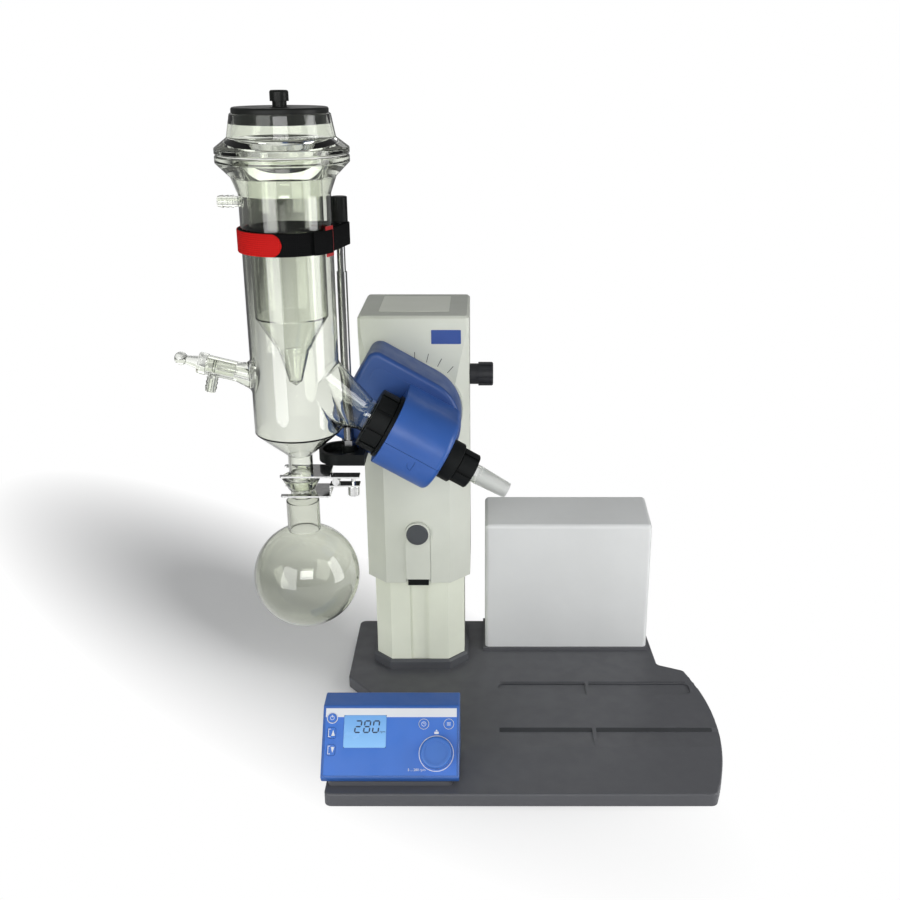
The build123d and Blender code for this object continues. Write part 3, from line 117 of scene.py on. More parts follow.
def spread(tree, value, low, high, start=0.35, end=0.65):
    """A value between start and end, laid out between low and high."""
    node = add_node(tree, "ShaderNodeMapRange")
    node.inputs["From Min"].default_value = start
    node.inputs["From Max"].default_value = end
    node.inputs["To Min"].default_value = low
    node.inputs["To Max"].default_value = high
    tree.links.new(value, node.inputs["Value"])
    return node.outputs["Result"]


def two_tone(tree, value, first, second):
    """Colour that goes from first to second with a value."""
    node = add_node(tree, "ShaderNodeMix", data_type="RGBA")
    colours = [s for s in node.inputs if s.type == "RGBA"]
    colours[0].default_value = (*first, 1)
    colours[1].default_value = (*second, 1)
    tree.links.new(value, node.inputs["Factor"])
    return [s for s in node.outputs if s.type == "RGBA"][0]


def bump(tree, shader, value, strength, distance):
    """Surface relief from a value."""
    node = add_node(tree, "ShaderNodeBump", Strength=strength, Distance=distance)
    tree.links.new(value, node.inputs["Height"])
    tree.links.new(node.outputs["Normal"], shader.inputs["Normal"])


def moulded(name, colour, rough, mottle, grain, scale, coat=0.0, shine=0.5):
    """Moulded plastic or paint: a little uneven in colour and gloss, with a fine surface grain."""
    mat, tree, shader = new_material(name)
    dark = [c * (1 - mottle) for c in colour]
    light = [c * (1 + mottle) for c in colour]
    cloud = noise(tree, scale=14, detail=4)
    tone = two_tone(tree, spread(tree, cloud, low=0, high=1), dark, light)
    tree.links.new(tone, shader.inputs["Base Color"])
    smear = noise(tree, scale=45, detail=5)
    gloss = spread(tree, smear, low=rough - 0.06, high=rough + 0.08)
    tree.links.new(gloss, shader.inputs["Roughness"])
    bump(tree, shader, noise(tree, scale, detail=3), strength=grain, distance=0.0002)
    shader.inputs["Specular IOR Level"].default_value = shine
    shader.inputs["Coat Weight"].default_value = coat
    shader.inputs["Coat Roughness"].default_value = 0.15
    return mat


def turned_metal(name, colour, rough, stretch):
    """Drawn or turned metal: fine lines along one direction."""
    mat, tree, shader = new_material(name)
    place = tree.nodes.new("ShaderNodeTexCoord")
    mapping = add_node(tree, "ShaderNodeMapping", Scale=stretch)
    lines = add_node(tree, "ShaderNodeTexNoise", Scale=1.0, Detail=4.0)
    tree.links.new(place.outputs["Object"], mapping.inputs["Vector"])
    tree.links.new(mapping.outputs["Vector"], lines.inputs["Vector"])
    dark = [c * 0.9 for c in colour]
    light = [min(1, c * 1.06) for c in colour]
    tone = two_tone(tree, spread(tree, lines.outputs["Fac"], low=0, high=1), dark, light)
    tree.links.new(tone, shader.inputs["Base Color"])
    gloss = spread(tree, lines.outputs["Fac"], low=rough * 0.8, high=rough * 1.3)
    tree.links.new(gloss, shader.inputs["Roughness"])
    bump(tree, shader, lines.outputs["Fac"], strength=0.08, distance=0.0002)
    shader.inputs["Metallic"].default_value = 1.0
    return mat


def clear_glass(name, tint, ground=None):
    """Blown glass that lets lamp light through. ground is where a frosted cone starts on the drive axis."""
    mat, tree, shader = new_material(name)
    ripple = noise(tree, scale=22, detail=2)
    shader.inputs["Base Color"].default_value = (*tint, 1)
    shader.inputs["Transmission Weight"].default_value = 1.0
    shader.inputs["IOR"].default_value = 1.47
    if ground is None:
        smooth = spread(tree, noise(tree, scale=30, detail=3), low=0.0, high=0.03)
        tree.links.new(smooth, shader.inputs["Roughness"])
    else:
        place = tree.nodes.new("ShaderNodeTexCoord")
        along = add_node(tree, "ShaderNodeVectorMath", operation="DOT_PRODUCT")
        along.inputs[1].default_value = DRIVE
        tree.links.new(place.outputs["Object"], along.inputs[0])
        begin = PIVOT.dot(DRIVE) + ground
        frost = spread(
            tree, along.outputs["Value"], low=0.02, high=0.42, start=begin - 0.001, end=begin + 0.002
        )
        tree.links.new(frost, shader.inputs["Roughness"])
    bump(tree, shader, ripple, strength=0.05, distance=0.002)
    through = add_node(tree, "ShaderNodeBsdfTransparent")
    through.inputs["Color"].default_value = (*[0.5 + 0.5 * c for c in tint], 1)
    path = tree.nodes.new("ShaderNodeLightPath")
    pick = tree.nodes.new("ShaderNodeMixShader")
    tree.links.new(path.outputs["Is Shadow Ray"], pick.inputs["Fac"])
    tree.links.new(shader.outputs["BSDF"], pick.inputs[1])
    tree.links.new(through.outputs["BSDF"], pick.inputs[2])
    tree.links.new(pick.outputs["Shader"], tree.nodes["Material Output"].inputs["Surface"])
    return mat


def woven(name, colour):
    """Woven webbing, its threads laid along and across the strap by its own length and width."""
    thread = 0.0012
    mat, tree, shader = new_material(name)
    place = tree.nodes.new("ShaderNodeTexCoord")
    waves = []
    for turn in (0, pi / 2):
        mapping = add_node(tree, "ShaderNodeMapping", Rotation=(0, 0, turn))
        wave = add_node(tree, "ShaderNodeTexWave", Scale=0.16 / thread, Distortion=0.4)
        wave.inputs["Detail"].default_value = 1.0
        tree.links.new(place.outputs["UV"], mapping.inputs["Vector"])
        tree.links.new(mapping.outputs["Vector"], wave.inputs["Vector"])
        waves.append(wave.outputs["Fac"])
    cross = add_node(tree, "ShaderNodeMath", operation="MAXIMUM")
    tree.links.new(waves[0], cross.inputs[0])
    tree.links.new(waves[1], cross.inputs[1])
    dark = [c * 0.6 for c in colour]
    light = [min(1, c * 1.35) for c in colour]
    tone = two_tone(tree, cross.outputs["Value"], dark, light)
    tree.links.new(tone, shader.inputs["Base Color"])
    gloss = spread(tree, cross.outputs["Value"], low=0.85, high=0.65, start=0, end=1)
    tree.links.new(gloss, shader.inputs["Roughness"])
    bump(tree, shader, cross.outputs["Value"], strength=0.5, distance=0.0004)
    shader.inputs["Specular IOR Level"].default_value = 0.08
    return mat


def display_material():
    """Backlit liquid-crystal glass: pale blue, a little brighter towards its foot."""
    foot, head = 36, 75
    mat, tree, shader = new_material("display_glass")
    place = tree.nodes.new("ShaderNodeTexCoord")
    along = add_node(tree, "ShaderNodeVectorMath", operation="DOT_PRODUCT")
    along.inputs[1].default_value = FACE_UP
    tree.links.new(place.outputs["Object"], along.inputs[0])
    begin = on_face(0, foot).dot(FACE_UP)
    end = on_face(0, head).dot(FACE_UP)
    fade = spread(tree, along.outputs["Value"], low=0, high=1, start=begin, end=end)
    tone = two_tone(tree, fade, (0.26, 0.52, 0.86), (0.16, 0.37, 0.72))
    tree.links.new(tone, shader.inputs["Base Color"])
    tree.links.new(tone, shader.inputs["Emission Color"])
    shader.inputs["Emission Strength"].default_value = 0.08
    gloss = spread(tree, noise(tree, scale=60, detail=3), low=0.18, high=0.28)
    tree.links.new(gloss, shader.inputs["Roughness"])
    return mat


# Light plastics and paint
tower_grey = moulded("tower_grey", (0.60, 0.62, 0.55), rough=0.42, mottle=0.03, grain=0.2, scale=500)
column_grey = moulded("column_grey", (0.74, 0.77, 0.65), rough=0.38, mottle=0.03, grain=0.12, scale=520)
box_white = moulded("box_white", (0.66, 0.67, 0.665), rough=0.40, mottle=0.02, grain=0.2, scale=520)
film_white = moulded("film_white", (0.68, 0.70, 0.73), rough=0.45, mottle=0.015, grain=0.05, scale=500)
label_grey = moulded("label_grey", (0.88, 0.90, 0.80), rough=0.5, mottle=0.02, grain=0.0, scale=500)
seal_white = moulded("seal_white", (0.80, 0.80, 0.77), rough=0.4, mottle=0.03, grain=0.1, scale=600)

# Dark plastics and rubber
base_grey = moulded("base_grey", (0.086, 0.088, 0.096), rough=0.46, mottle=0.03, grain=0.35, scale=700)
collar_grey = moulded("collar_grey", (0.07, 0.073, 0.08), rough=0.5, mottle=0.08, grain=0.3, scale=700)
button_grey = moulded("button_grey", (0.055, 0.060, 0.066), rough=0.5, mottle=0.08, grain=0.3, scale=700)
rubber = moulded("rubber", (0.02, 0.02, 0.02), rough=0.75, mottle=0.2, grain=0.5, scale=600)
mark_dark = moulded("mark_dark", (0.10, 0.10, 0.095), rough=0.6, mottle=0.1, grain=0.1, scale=520)
digit_dark = moulded("digit_dark", (0.012, 0.03, 0.075), rough=0.5, mottle=0.1, grain=0.05, scale=500)
black_plastic = moulded(
    "black_plastic", (0.006, 0.007, 0.007), rough=0.48, mottle=0.15, grain=0.3, scale=700, shine=0.13
)
lid_black = moulded(
    "lid_black", (0.011, 0.012, 0.011), rough=0.38, mottle=0.12, grain=0.2, scale=700, shine=0.2
)
knob_black = moulded(
    "knob_black", (0.024, 0.025, 0.029), rough=0.5, mottle=0.12, grain=0.4, scale=700, shine=0.3
)
# Dark finish of the strips that paint shade into the bath guides
painted_shade_dark = moulded(
    "painted_shade_dark", (0.040, 0.042, 0.045), rough=0.7, mottle=0.08, grain=0.3, scale=700, shine=0.2
)

# Coloured plastics and paint
drive_blue = moulded(
    "drive_blue", (0.022, 0.090, 0.34), rough=0.40, mottle=0.05, grain=0.1, scale=520, coat=0.08
)
# Painted shade: a darker copy of the drive blue for the rear housing, which lies in shade
housing_blue_painted_shade = moulded(
    "housing_blue_painted_shade", (0.017, 0.062, 0.235), rough=0.42, mottle=0.05, grain=0.1, scale=520, coat=0.05
)
panel_blue = moulded("panel_blue", (0.030, 0.110, 0.38), rough=0.38, mottle=0.05, grain=0.15, scale=520)
face_blue = moulded("face_blue", (0.045, 0.165, 0.58), rough=0.34, mottle=0.03, grain=0.08, scale=500)
knob_blue = moulded("knob_blue", (0.040, 0.150, 0.50), rough=0.36, mottle=0.04, grain=0.12, scale=520)
badge_blue = moulded("badge_blue", (0.022, 0.065, 0.28), rough=0.42, mottle=0.03, grain=0.0, scale=500)
board_green = moulded("board_green", (0.02, 0.12, 0.05), rough=0.4, mottle=0.15, grain=0.3, scale=400)
red_plastic = moulded("red_plastic", (0.42, 0.012, 0.014), rough=0.4, mottle=0.06, grain=0.15, scale=600)

# Metals
steel = turned_metal("steel", (0.62, 0.62, 0.62), rough=0.22, stretch=(900, 900, 6))
rod_steel = turned_metal("rod_steel", (0.26, 0.26, 0.26), rough=0.2, stretch=(900, 900, 6))
motor_steel = turned_metal("motor_steel", (0.40, 0.40, 0.41), rough=0.35, stretch=(40, 40, 700))
chrome = turned_metal("chrome", (0.78, 0.78, 0.77), rough=0.08, stretch=(300, 300, 300))
brass = turned_metal("brass", (0.62, 0.45, 0.18), rough=0.25, stretch=(900, 900, 12))
pulley_metal = turned_metal("pulley_metal", (0.55, 0.55, 0.56), rough=0.3, stretch=(500, 500, 500))
plate_steel = turned_metal("plate_steel", (0.45, 0.45, 0.46), rough=0.4, stretch=(12, 500, 500))

# Glass and webbing
jacket_glass = clear_glass("jacket_glass", (0.92, 0.935, 0.885))
finger_glass = clear_glass("finger_glass", (0.93, 0.945, 0.90))
# Painted shade: the flask's tint is darker than the other glass's, standing in for the darker surroundings
# seen through it
flask_glass_painted_shade = clear_glass("flask_glass_painted_shade", (0.81, 0.825, 0.765))
tube_glass = clear_glass("tube_glass", (0.88, 0.89, 0.88), ground=CONE_START)
display_glass = display_material()
strap_black = woven("strap_black", (0.0022, 0.0024, 0.0026))
strap_red = woven("strap_red", (0.40, 0.008, 0.007))

finishes = {
    tower_grey: ["carriage_shell", "stop_slider"],
    column_grey: ["column"],
    box_white: ["power_box"],
    base_grey: ["base_shell"],
    collar_grey: ["column_collar"],
    drive_blue: ["drive_body", "drive_lower_cover", "lock_button"],
    housing_blue_painted_shade: ["rear_housing"],
    panel_blue: ["panel_housing"],
    face_blue: ["panel_face", "power_key", "lift_up_key", "lift_down_key", "timer_key", "mode_key"],
    knob_blue: ["speed_knob"],
    display_glass: ["display_window"],
    black_plastic: [
        "mains_inlet", "mains_switch", "stop_bar", "bearing_carrier", "holder_bracket", "strap_block",
        "holder_cap", "shaft_collar", "push_off_nut", "condenser_nut",
    ],
    lid_black: ["lid", "lid_knob"],
    knob_black: ["tilt_knob"],
    button_grey: ["stop_button"],
    rubber: ["rubber_feet", "drive_belt"],
    seal_white: ["shaft_seal", "flange_seal", "guide_rings"],
    board_green: ["panel_board"],
    steel: ["lift_spindle", "pivot_shaft", "shaft_bearings", "hollow_shaft"],
    rod_steel: ["holder_tube", "holder_rod"],
    motor_steel: ["lift_motor", "drive_motor"],
    chrome: ["clamp_forks", "clamp_screw"],
    brass: ["spindle_nut"],
    pulley_metal: ["shaft_pulley", "motor_pulley"],
    plate_steel: ["base_plate"],
    jacket_glass: ["condenser_jacket", "stopcock_key"],
    finger_glass: ["cold_finger"],
    flask_glass_painted_shade: ["receiving_flask", "flask_neck"],
    tube_glass: ["vapour_tube"],
    strap_black: ["strap"],
}
for finish, names in finishes.items():
    for name in names:
        nodes[name].data.materials.clear()
        nodes[name].data.materials.append(finish)

# Pieces


def add_piece(name, mesh, finish, body):
    """New piece from a mesh, riding on a body."""
    mesh.materials.append(finish)
    made = bpy.data.objects.new(name, mesh)
    scene.collection.objects.link(made)
    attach(made, body)
    return made


def piece(name, build, finish, body):
    """New piece from a filled bmesh, its faces turned outwards."""
    bmesh.ops.recalc_face_normals(build, faces=build.faces)
    mesh = bpy.data.meshes.new(name)
    build.to_mesh(mesh)
    build.free()
    return add_piece(name, mesh, finish, body)


def plate_in(build, outline, place, low, high):
    """Flat plate over an outline, from height low to high."""
    floor = [build.verts.new(place(u, v, low)) for u, v in outline]
    roof = [build.verts.new(place(u, v, high)) for u, v in outline]
    build.faces.new(roof)
    build.faces.new(floor[::-1])
    count = len(outline)
    for i in range(count):
        j = (i + 1) % count
        build.faces.new((floor[i], floor[j], roof[j], roof[i]))


def ring_in(build, centre, inner, outer, place, low, high, count=64):
    """Flat ring about a centre."""
    angles = [2 * pi * i / count for i in range(count)]
    loops = []
    for radius, h in ((inner, low), (outer, low), (outer, high), (inner, high)):
        loops.append([
            build.verts.new(place(centre[0] + radius * cos(a), centre[1] + radius * sin(a), h))
            for a in angles
        ])
    for a in range(4):
        b = (a + 1) % 4
        for i in range(count):
            j = (i + 1) % count
            build.faces.new((loops[a][i], loops[a][j], loops[b][j], loops[b][i]))


def rounded(left, low, right, high, corner, steps=6):
    """Outline of a rounded rectangle."""
    points = []
    for cx, cy, start in (
        (right - corner, high - corner, 0),
        (left + corner, high - corner, 90),
        (left + corner, low + corner, 180),
        (right - corner, low + corner, 270),
    ):
        for i in range(steps + 1):
            a = radians(start + 90 * i / steps)
            points.append((cx + corner * cos(a), cy + corner * sin(a)))
    return points


# Base: painted shade, as thin dark strips in the two bath guides where their grooves and walls lie in shade,
# left and right of their ribs, in millimetres
RIB_LEFT = 175.3
RIB_RIGHT = 180.7
REAR_GUIDE = (55, 319)
FRONT_GUIDE = (53, 334)
GROOVE_FLOOR = -2.5
# Each painted shade line of the rear guide: from, to, and its height over the base top
REAR_LINES = ((34.8, 35.9, GROOVE_FLOOR), (6.1, 7.1, GROOVE_FLOOR), (37.0, 37.9, 0))
STEP_Y = -75
STEP_RUN = 7
STEP_DROP = 2.5


def on_step(x, t, h=0.0):
    """Point on the steep face of the front guide: across, down the face and out of it."""
    down = Vector((0, -STEP_RUN, -STEP_DROP)).normalized()
    out = Vector((0, -STEP_DROP, STEP_RUN)).normalized()
    return Vector((x, STEP_Y, BASE_TOP)) / 1000 + down * (t / 1000) + out * (h / 1000)


# Painted shade: dark strips in the rear guide's grooves and on the front guide's steep face, standing in for
# the shade there
build = bmesh.new()
for left, right in ((REAR_GUIDE[0], RIB_LEFT), (RIB_RIGHT, REAR_GUIDE[1])):
    for low, high, h in REAR_LINES:
        outline = [(left, low), (right, low), (right, high), (left, high)]
        plate_in(build, outline, on_base, h, h + 0.2)
for left, right in ((FRONT_GUIDE[0], RIB_LEFT), (RIB_RIGHT, FRONT_GUIDE[1])):
    plate_in(build, rounded(left, 0.6, right, 7.2, corner=1.5), on_step, 0, 0.25)
piece("guide_painted_shade", build, painted_shade_dark, "stand")

# Control panel: places on its face and the thickness of printed film, in millimetres
FILM = 0.10
KEY_TOP = 0.8
POWER_KEY = (-155.5, 71.7)
TIMER_KEY = (-42.3, 64.4)
MODE_KEY = (-11.5, 64.4)
SPEED_KNOB = (-26.5, 29.2)
LIFT_UP_T = 53.6
LIFT_DOWN_T = 33.3
WINDOW_LEFT = -140.9
WINDOW_RIGHT = -88.5
WINDOW_TOP = 75.2
BAND_LEFT = -163.6
BAND_RIGHT = -1.8
BAND_LOW = 72.8
BAND_HIGH = 83.5
BAND_KEY_GAP = 7.0
BAND_ARC_STEPS = 12

# White band, cut out round the power key and over the window
key_rise = BAND_LOW - POWER_KEY[1]
arc_start = atan2(key_rise, sqrt(BAND_KEY_GAP**2 - key_rise**2))
key_arc = []
for i in range(BAND_ARC_STEPS + 1):
    a = arc_start + i / BAND_ARC_STEPS * (pi - 2 * arc_start)
    key_arc.append((POWER_KEY[0] + BAND_KEY_GAP * cos(a), POWER_KEY[1] + BAND_KEY_GAP * sin(a)))
band_outline = [
    (BAND_LEFT, BAND_HIGH),
    (BAND_LEFT, BAND_LOW),
    *key_arc[::-1],
    (WINDOW_LEFT, BAND_LOW),
    (WINDOW_LEFT, WINDOW_TOP),
    (WINDOW_RIGHT, WINDOW_TOP),
    (WINDOW_RIGHT, BAND_LOW),
    (BAND_RIGHT, BAND_LOW),
    (BAND_RIGHT, BAND_HIGH),
]
build = bmesh.new()
plate_in(build, band_outline, on_face, 0, FILM)
piece("panel_band", build, film_white, "stand")

# White rings round the knob and the round keys
build = bmesh.new()
ring_in(build, SPEED_KNOB, 20.6, 21.5, on_face, 0, FILM, count=96)
ring_in(build, POWER_KEY, 5.9, 6.8, on_face, 0, FILM)
for centre in (TIMER_KEY, MODE_KEY):
    ring_in(build, centre, 5.9, 6.4, on_face, 0, FILM)
piece("panel_rings", build, film_white, "stand")

# Press sign over the knob: a small plate under a point
build = bmesh.new()
plate_in(build, rounded(-29.2, 52.4, -23.8, 55.2, corner=0.5), on_face, 0, FILM)
plate_in(build, [(-28, 55.7), (-25, 55.7), (-26.5, 58)], on_face, 0, FILM)
piece("knob_mark", build, film_white, "stand")

# Lift keys: a door bracket and an arrow on each, given for the upward key
BRACKET = [
    (-159.6, -5), (-156.6, -5), (-156.6, -4.2), (-158.8, -4.2),
    (-158.8, 4.2), (-156.6, 4.2), (-156.6, 5), (-159.6, 5),
]
ARROW = [(-155.9, -3.6), (-151.3, -3.6), (-153.6, 3.4)]
for key_name, t, way in (("lift_up_key", LIFT_UP_T, 1), ("lift_down_key", LIFT_DOWN_T, -1)):
    build = bmesh.new()
    for shape in (BRACKET, ARROW):
        outline = [(x, t + way * d) for x, d in shape]
        plate_in(build, outline, on_face, KEY_TOP, KEY_TOP + FILM)
    piece(key_name + "_mark", build, film_white, key_name)

# Round keys: a ring with a bar for power, a clock for the timer and three lines for the mode
x, t = POWER_KEY
build = bmesh.new()
ring_in(build, POWER_KEY, 2.0, 2.6, on_face, KEY_TOP, KEY_TOP + FILM, count=32)
power_bar = rounded(x - 0.4, t + 0.6, x + 0.4, t + 3.6, corner=0.3, steps=3)
plate_in(build, power_bar, on_face, KEY_TOP + FILM, KEY_TOP + 2 * FILM)
piece("power_key_mark", build, film_white, "power_key")

x, t = TIMER_KEY
build = bmesh.new()
ring_in(build, TIMER_KEY, 2.4, 2.9, on_face, KEY_TOP, KEY_TOP + FILM, count=32)
minute_hand = rounded(x - 0.25, t, x + 0.25, t + 2.0, corner=0.2, steps=3)
plate_in(build, minute_hand, on_face, KEY_TOP, KEY_TOP + FILM)
hour_hand = rounded(x + 0.25, t - 0.25, x + 1.6, t + 0.25, corner=0.2, steps=3)
plate_in(build, hour_hand, on_face, KEY_TOP, KEY_TOP + FILM)
piece("timer_key_mark", build, film_white, "timer_key")

x, t = MODE_KEY
build = bmesh.new()
for step in (-1.4, 0, 1.4):
    line = rounded(x - 2.4, t + step - 0.3, x + 2.4, t + step + 0.3, corner=0.25, steps=3)
    plate_in(build, line, on_face, KEY_TOP, KEY_TOP + FILM)
piece("mode_key_mark", build, film_white, "mode_key")

# Display: three leaning figures, in millimetres
FIGURE_LOW = 53.5
FIGURE_WIDTH = 8.6
FIGURE_HEIGHT = 15.5
FIGURE_CLEAR = 0.02


def figure_in(build, x, lit):
    """Seven-bar figure whose lower left corner is at x. lit names the bars that show."""
    bar, lean, gap = 1.7, 0.13, 0.25
    mid = FIGURE_HEIGHT / 2

    def at(u, v):
        return (x + u + lean * v, FIGURE_LOW + v)

    def flat(v):
        near, far = gap + bar / 2, FIGURE_WIDTH - gap - bar / 2
        begin, end = gap + bar, FIGURE_WIDTH - gap - bar
        return [
            at(near, v), at(begin, v + bar / 2), at(end, v + bar / 2),
            at(far, v), at(end, v - bar / 2), at(begin, v - bar / 2),
        ]

    def tall(u, low):
        high = low + mid
        begin, end = low + gap + bar, high - gap - bar
        return [
            at(u, low + gap + bar / 2), at(u + bar / 2, begin), at(u + bar / 2, end),
            at(u, high - gap - bar / 2), at(u - bar / 2, end), at(u - bar / 2, begin),
        ]

    bars = {
        "a": flat(FIGURE_HEIGHT - bar / 2),
        "b": tall(FIGURE_WIDTH - bar / 2, mid),
        "c": tall(FIGURE_WIDTH - bar / 2, 0),
        "d": flat(bar / 2),
        "e": tall(bar / 2, 0),
        "f": tall(bar / 2, mid),
        "g": flat(mid),
    }
    for name in lit:
        plate_in(build, bars[name], on_face, FIGURE_CLEAR, FIGURE_CLEAR + FILM)


build = bmesh.new()
for x, lit in ((-128.5, "abged"), (-117.5, "abcdefg"), (-106.5, "abcdef")):
    figure_in(build, x, lit)
piece("display_figures", build, digit_dark, "stand")


def words(name, text, x, t, finish, body):
    """Plain unit or range lying on the panel's face."""
    size, clear = 4.2, 0.06
    curve = bpy.data.curves.new(name + "_curve", "FONT")
    curve.body = text
    curve.size = size / 1000
    curve.extrude = 0.00004
    curve.resolution_u = 3
    helper = bpy.data.objects.new(name + "_helper", curve)
    scene.collection.objects.link(helper)
    bpy.context.view_layer.update()
    drawn = helper.evaluated_get(bpy.context.evaluated_depsgraph_get())
    mesh = bpy.data.meshes.new_from_object(drawn)
    bpy.data.objects.remove(helper)
    for v in mesh.vertices:
        v.co = on_face(x + v.co.x * 1000, t + v.co.y * 1000, clear + v.co.z * 1000)
    mesh.materials.clear()
    add_piece(name, mesh, finish, body)


words("display_unit", "rpm", -96.6, 54.0, digit_dark, "stand")
words("speed_range", "5 ... 280 rpm", -61.0, 8.6, film_white, "stand")

# Tower: angle marks about the pivot, a bare label plate on top and a bare badge, in millimetres
MARK_CENTRE = (-60, 417)
MARK_COUNT = 4
MARK_FIRST = 1.0
MARK_PITCH = 13.4
MARK_INNER = 66.5
MARK_OUTER = 78.5
MARK_HALF = 0.45

build = bmesh.new()
for step in range(MARK_COUNT):
    a = radians(MARK_FIRST + MARK_PITCH * step)
    outline = []
    for radius, side in (
        (MARK_INNER, -MARK_HALF), (MARK_INNER, MARK_HALF), (MARK_OUTER, MARK_HALF), (MARK_OUTER, -MARK_HALF)
    ):
        across = MARK_CENTRE[0] + radius * sin(a) + side * cos(a)
        upward = MARK_CENTRE[1] + radius * cos(a) - side * sin(a)
        outline.append((across, upward))
    plate_in(build, outline, on_front, 0, 0.15)
piece("angle_marks", build, mark_dark, "carriage")

build = bmesh.new()
plate_in(build, rounded(-107, 99, -14, 197, corner=3), on_top, 0, 0.25)
piece("top_label", build, label_grey, "carriage")

build = bmesh.new()
plate_in(build, rounded(-36.7, 506.2, 2.1, 524.9, corner=1.0), on_front, 0, 0.3)
piece("tower_badge", build, badge_blue, "carriage")

# Rear housing: a low raised field beside the drive, in the housing's blue with painted shade
build = bmesh.new()
plate_in(build, rounded(-76, -46, 40, 46.5, corner=9), on_housing, -0.05, 0.5)
field = piece("housing_field", build, housing_blue_painted_shade, "head")
soften = field.modifiers.new("soften", "BEVEL")
soften.width = 0.0003
soften.segments = 2

# Condenser strap: a woven loop round glass and block, with a red pull tab, a fold and a red buckle, in metres
LOOP_AT_GLASS = 0.0542
LOOP_AT_BLOCK = 0.0102
LOOP_STEPS_GLASS = 72
LOOP_STEPS_BLOCK = 24
STRAP_LOW = 0.648
STRAP_HIGH = 0.674
STRAP_THICK = 0.0014
SECOND_LAYER = 0.0558
THIRD_LAYER = 0.0574
TAB_THICK = 0.0012
TAB_INSET = 0.0002
TAB_NOSE = 0.013
FOLD_THICK = 0.0013
BUCKLE_THICK = 0.0014
BUCKLE_OVER = 0.0042


def loop_path():
    """Closed line of the strap round the glass and the block."""
    gap = ROD_XY - GLASS_XY
    heading = atan2(gap.y, gap.x)
    taper = LOOP_AT_GLASS - LOOP_AT_BLOCK
    lean = atan2(sqrt(gap.length**2 - taper**2), taper)
    points = []
    for i in range(LOOP_STEPS_GLASS + 1):
        a = heading + lean + (2 * pi - 2 * lean) * i / LOOP_STEPS_GLASS
        points.append(GLASS_XY + Vector((LOOP_AT_GLASS * cos(a), LOOP_AT_GLASS * sin(a))))
    for i in range(LOOP_STEPS_BLOCK + 1):
        a = heading - lean + 2 * lean * i / LOOP_STEPS_BLOCK
        points.append(ROD_XY + Vector((LOOP_AT_BLOCK * cos(a), LOOP_AT_BLOCK * sin(a))))
    return points


def band_piece(name, line, edges, thick, finish, closed=False):
    """Webbing along a line, thickened outwards. edges gives its low and high rim at a length along it."""
    shoulder, rim_most = 0.7, 0.0006
    build = bmesh.new()
    uv = build.loops.layers.uv.new("UVMap")
    count = len(line)
    lengths = [0.0]
    for i in range(1, count):
        lengths.append(lengths[-1] + (line[i] - line[i - 1]).length)
    whole = lengths[-1]
    rows = []
    for i, p in enumerate(line):
        before = line[i - 1] if i or closed else p
        after = line[(i + 1) % count] if i < count - 1 or closed else p
        run = (after - before).normalized()
        out = Vector((run.y, -run.x))
        low, high = edges(lengths[i], whole)
        mid = (low + high) / 2
        rim = min(rim_most, (high - low) / 4)
        section = [
            (0, low), (thick * shoulder, low), (thick, low + rim), (thick, mid),
            (thick, high - rim), (thick * shoulder, high), (0, high), (0, mid),
        ]
        rows.append([build.verts.new((p.x + out.x * d, p.y + out.y * d, z)) for d, z in section])
    sides = len(rows[0])
    spans = count if closed else count - 1
    for i in range(spans):
        j = (i + 1) % count
        s0 = lengths[i]
        s1 = lengths[j] if j else whole + (line[0] - line[-1]).length
        for a in range(sides):
            b = (a + 1) % sides
            made = build.faces.new((rows[i][a], rows[j][a], rows[j][b], rows[i][b]))
            for loop, s in zip(made.loops, (s0, s1, s1, s0)):
                loop[uv].uv = (s, loop.vert.co.z)
            made.smooth = True
    if not closed:
        build.faces.new(rows[0])
        build.faces.new(rows[-1][::-1])
    return piece(name, build, finish, "head")


def even(low, high):
    """Rim heights that stay the same."""
    return lambda s, whole: (low, high)


def nosed(low, high, nose):
    """Rim heights of a tab whose far end is round."""
    least = 0.0008
    mid = (low + high) / 2

    def edges(s, whole):
        left = whole - s
        if left >= nose:
            return low, high
        half = (high - low) / 2 * sqrt(max(0.0, 1 - (1 - left / nose) ** 2))
        half = max(half, least)
        return mid - half, mid + half

    return edges


def arc_line(radius, start, end, count):
    """Points round the glass from one angle to another, in degrees."""
    angles = [radians(start + (end - start) * i / count) for i in range(count + 1)]
    return [GLASS_XY + Vector((radius * cos(a), radius * sin(a))) for a in angles]


loop_line = loop_path()
whole_width = even(STRAP_LOW, STRAP_HIGH)
strap_loop = band_piece("strap_webbing", loop_line, whole_width, STRAP_THICK, strap_black, closed=True)
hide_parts("strap")
tab_line = arc_line(SECOND_LAYER, 150, 273, 60)
tab_edges = nosed(STRAP_LOW + TAB_INSET, STRAP_HIGH - TAB_INSET, TAB_NOSE)
tab = band_piece("strap_tab", tab_line, tab_edges, TAB_THICK, strap_red)
fold_line = arc_line(THIRD_LAYER, 310, 341, 20)
fold = band_piece("strap_fold", fold_line, whole_width, FOLD_THICK, strap_black)
buckle_line = arc_line(SECOND_LAYER, 330, 345, 12)
buckle_edges = even(STRAP_LOW - BUCKLE_OVER, STRAP_HIGH + BUCKLE_OVER)
band_piece("strap_buckle", buckle_line, buckle_edges, BUCKLE_THICK, red_plastic)

# Studio: white floor with a painted shadow band that runs back to the left, soft lamps, camera
FLOOR_HALF = 6
FLOOR_CLEAR = 0.0004
# Painted shadow band on the floor: its middle, turn and size
PAINTED_SHADOW_PLACE = (-0.33, 0.27, 0)
PAINTED_SHADOW_TURN = radians(135)
PAINTED_SHADOW_SIZE = (0.80, 0.23, 1)


def math_node(tree, operation, first, second=None):
    """Result of an operation on one or two values, each a socket or a number."""
    node = add_node(tree, "ShaderNodeMath", operation=operation)
    for i, value in enumerate((first, second)):
        if isinstance(value, float):
            node.inputs[i].default_value = value
        elif value is not None:
            tree.links.new(value, node.inputs[i])
    return node.outputs["Value"]


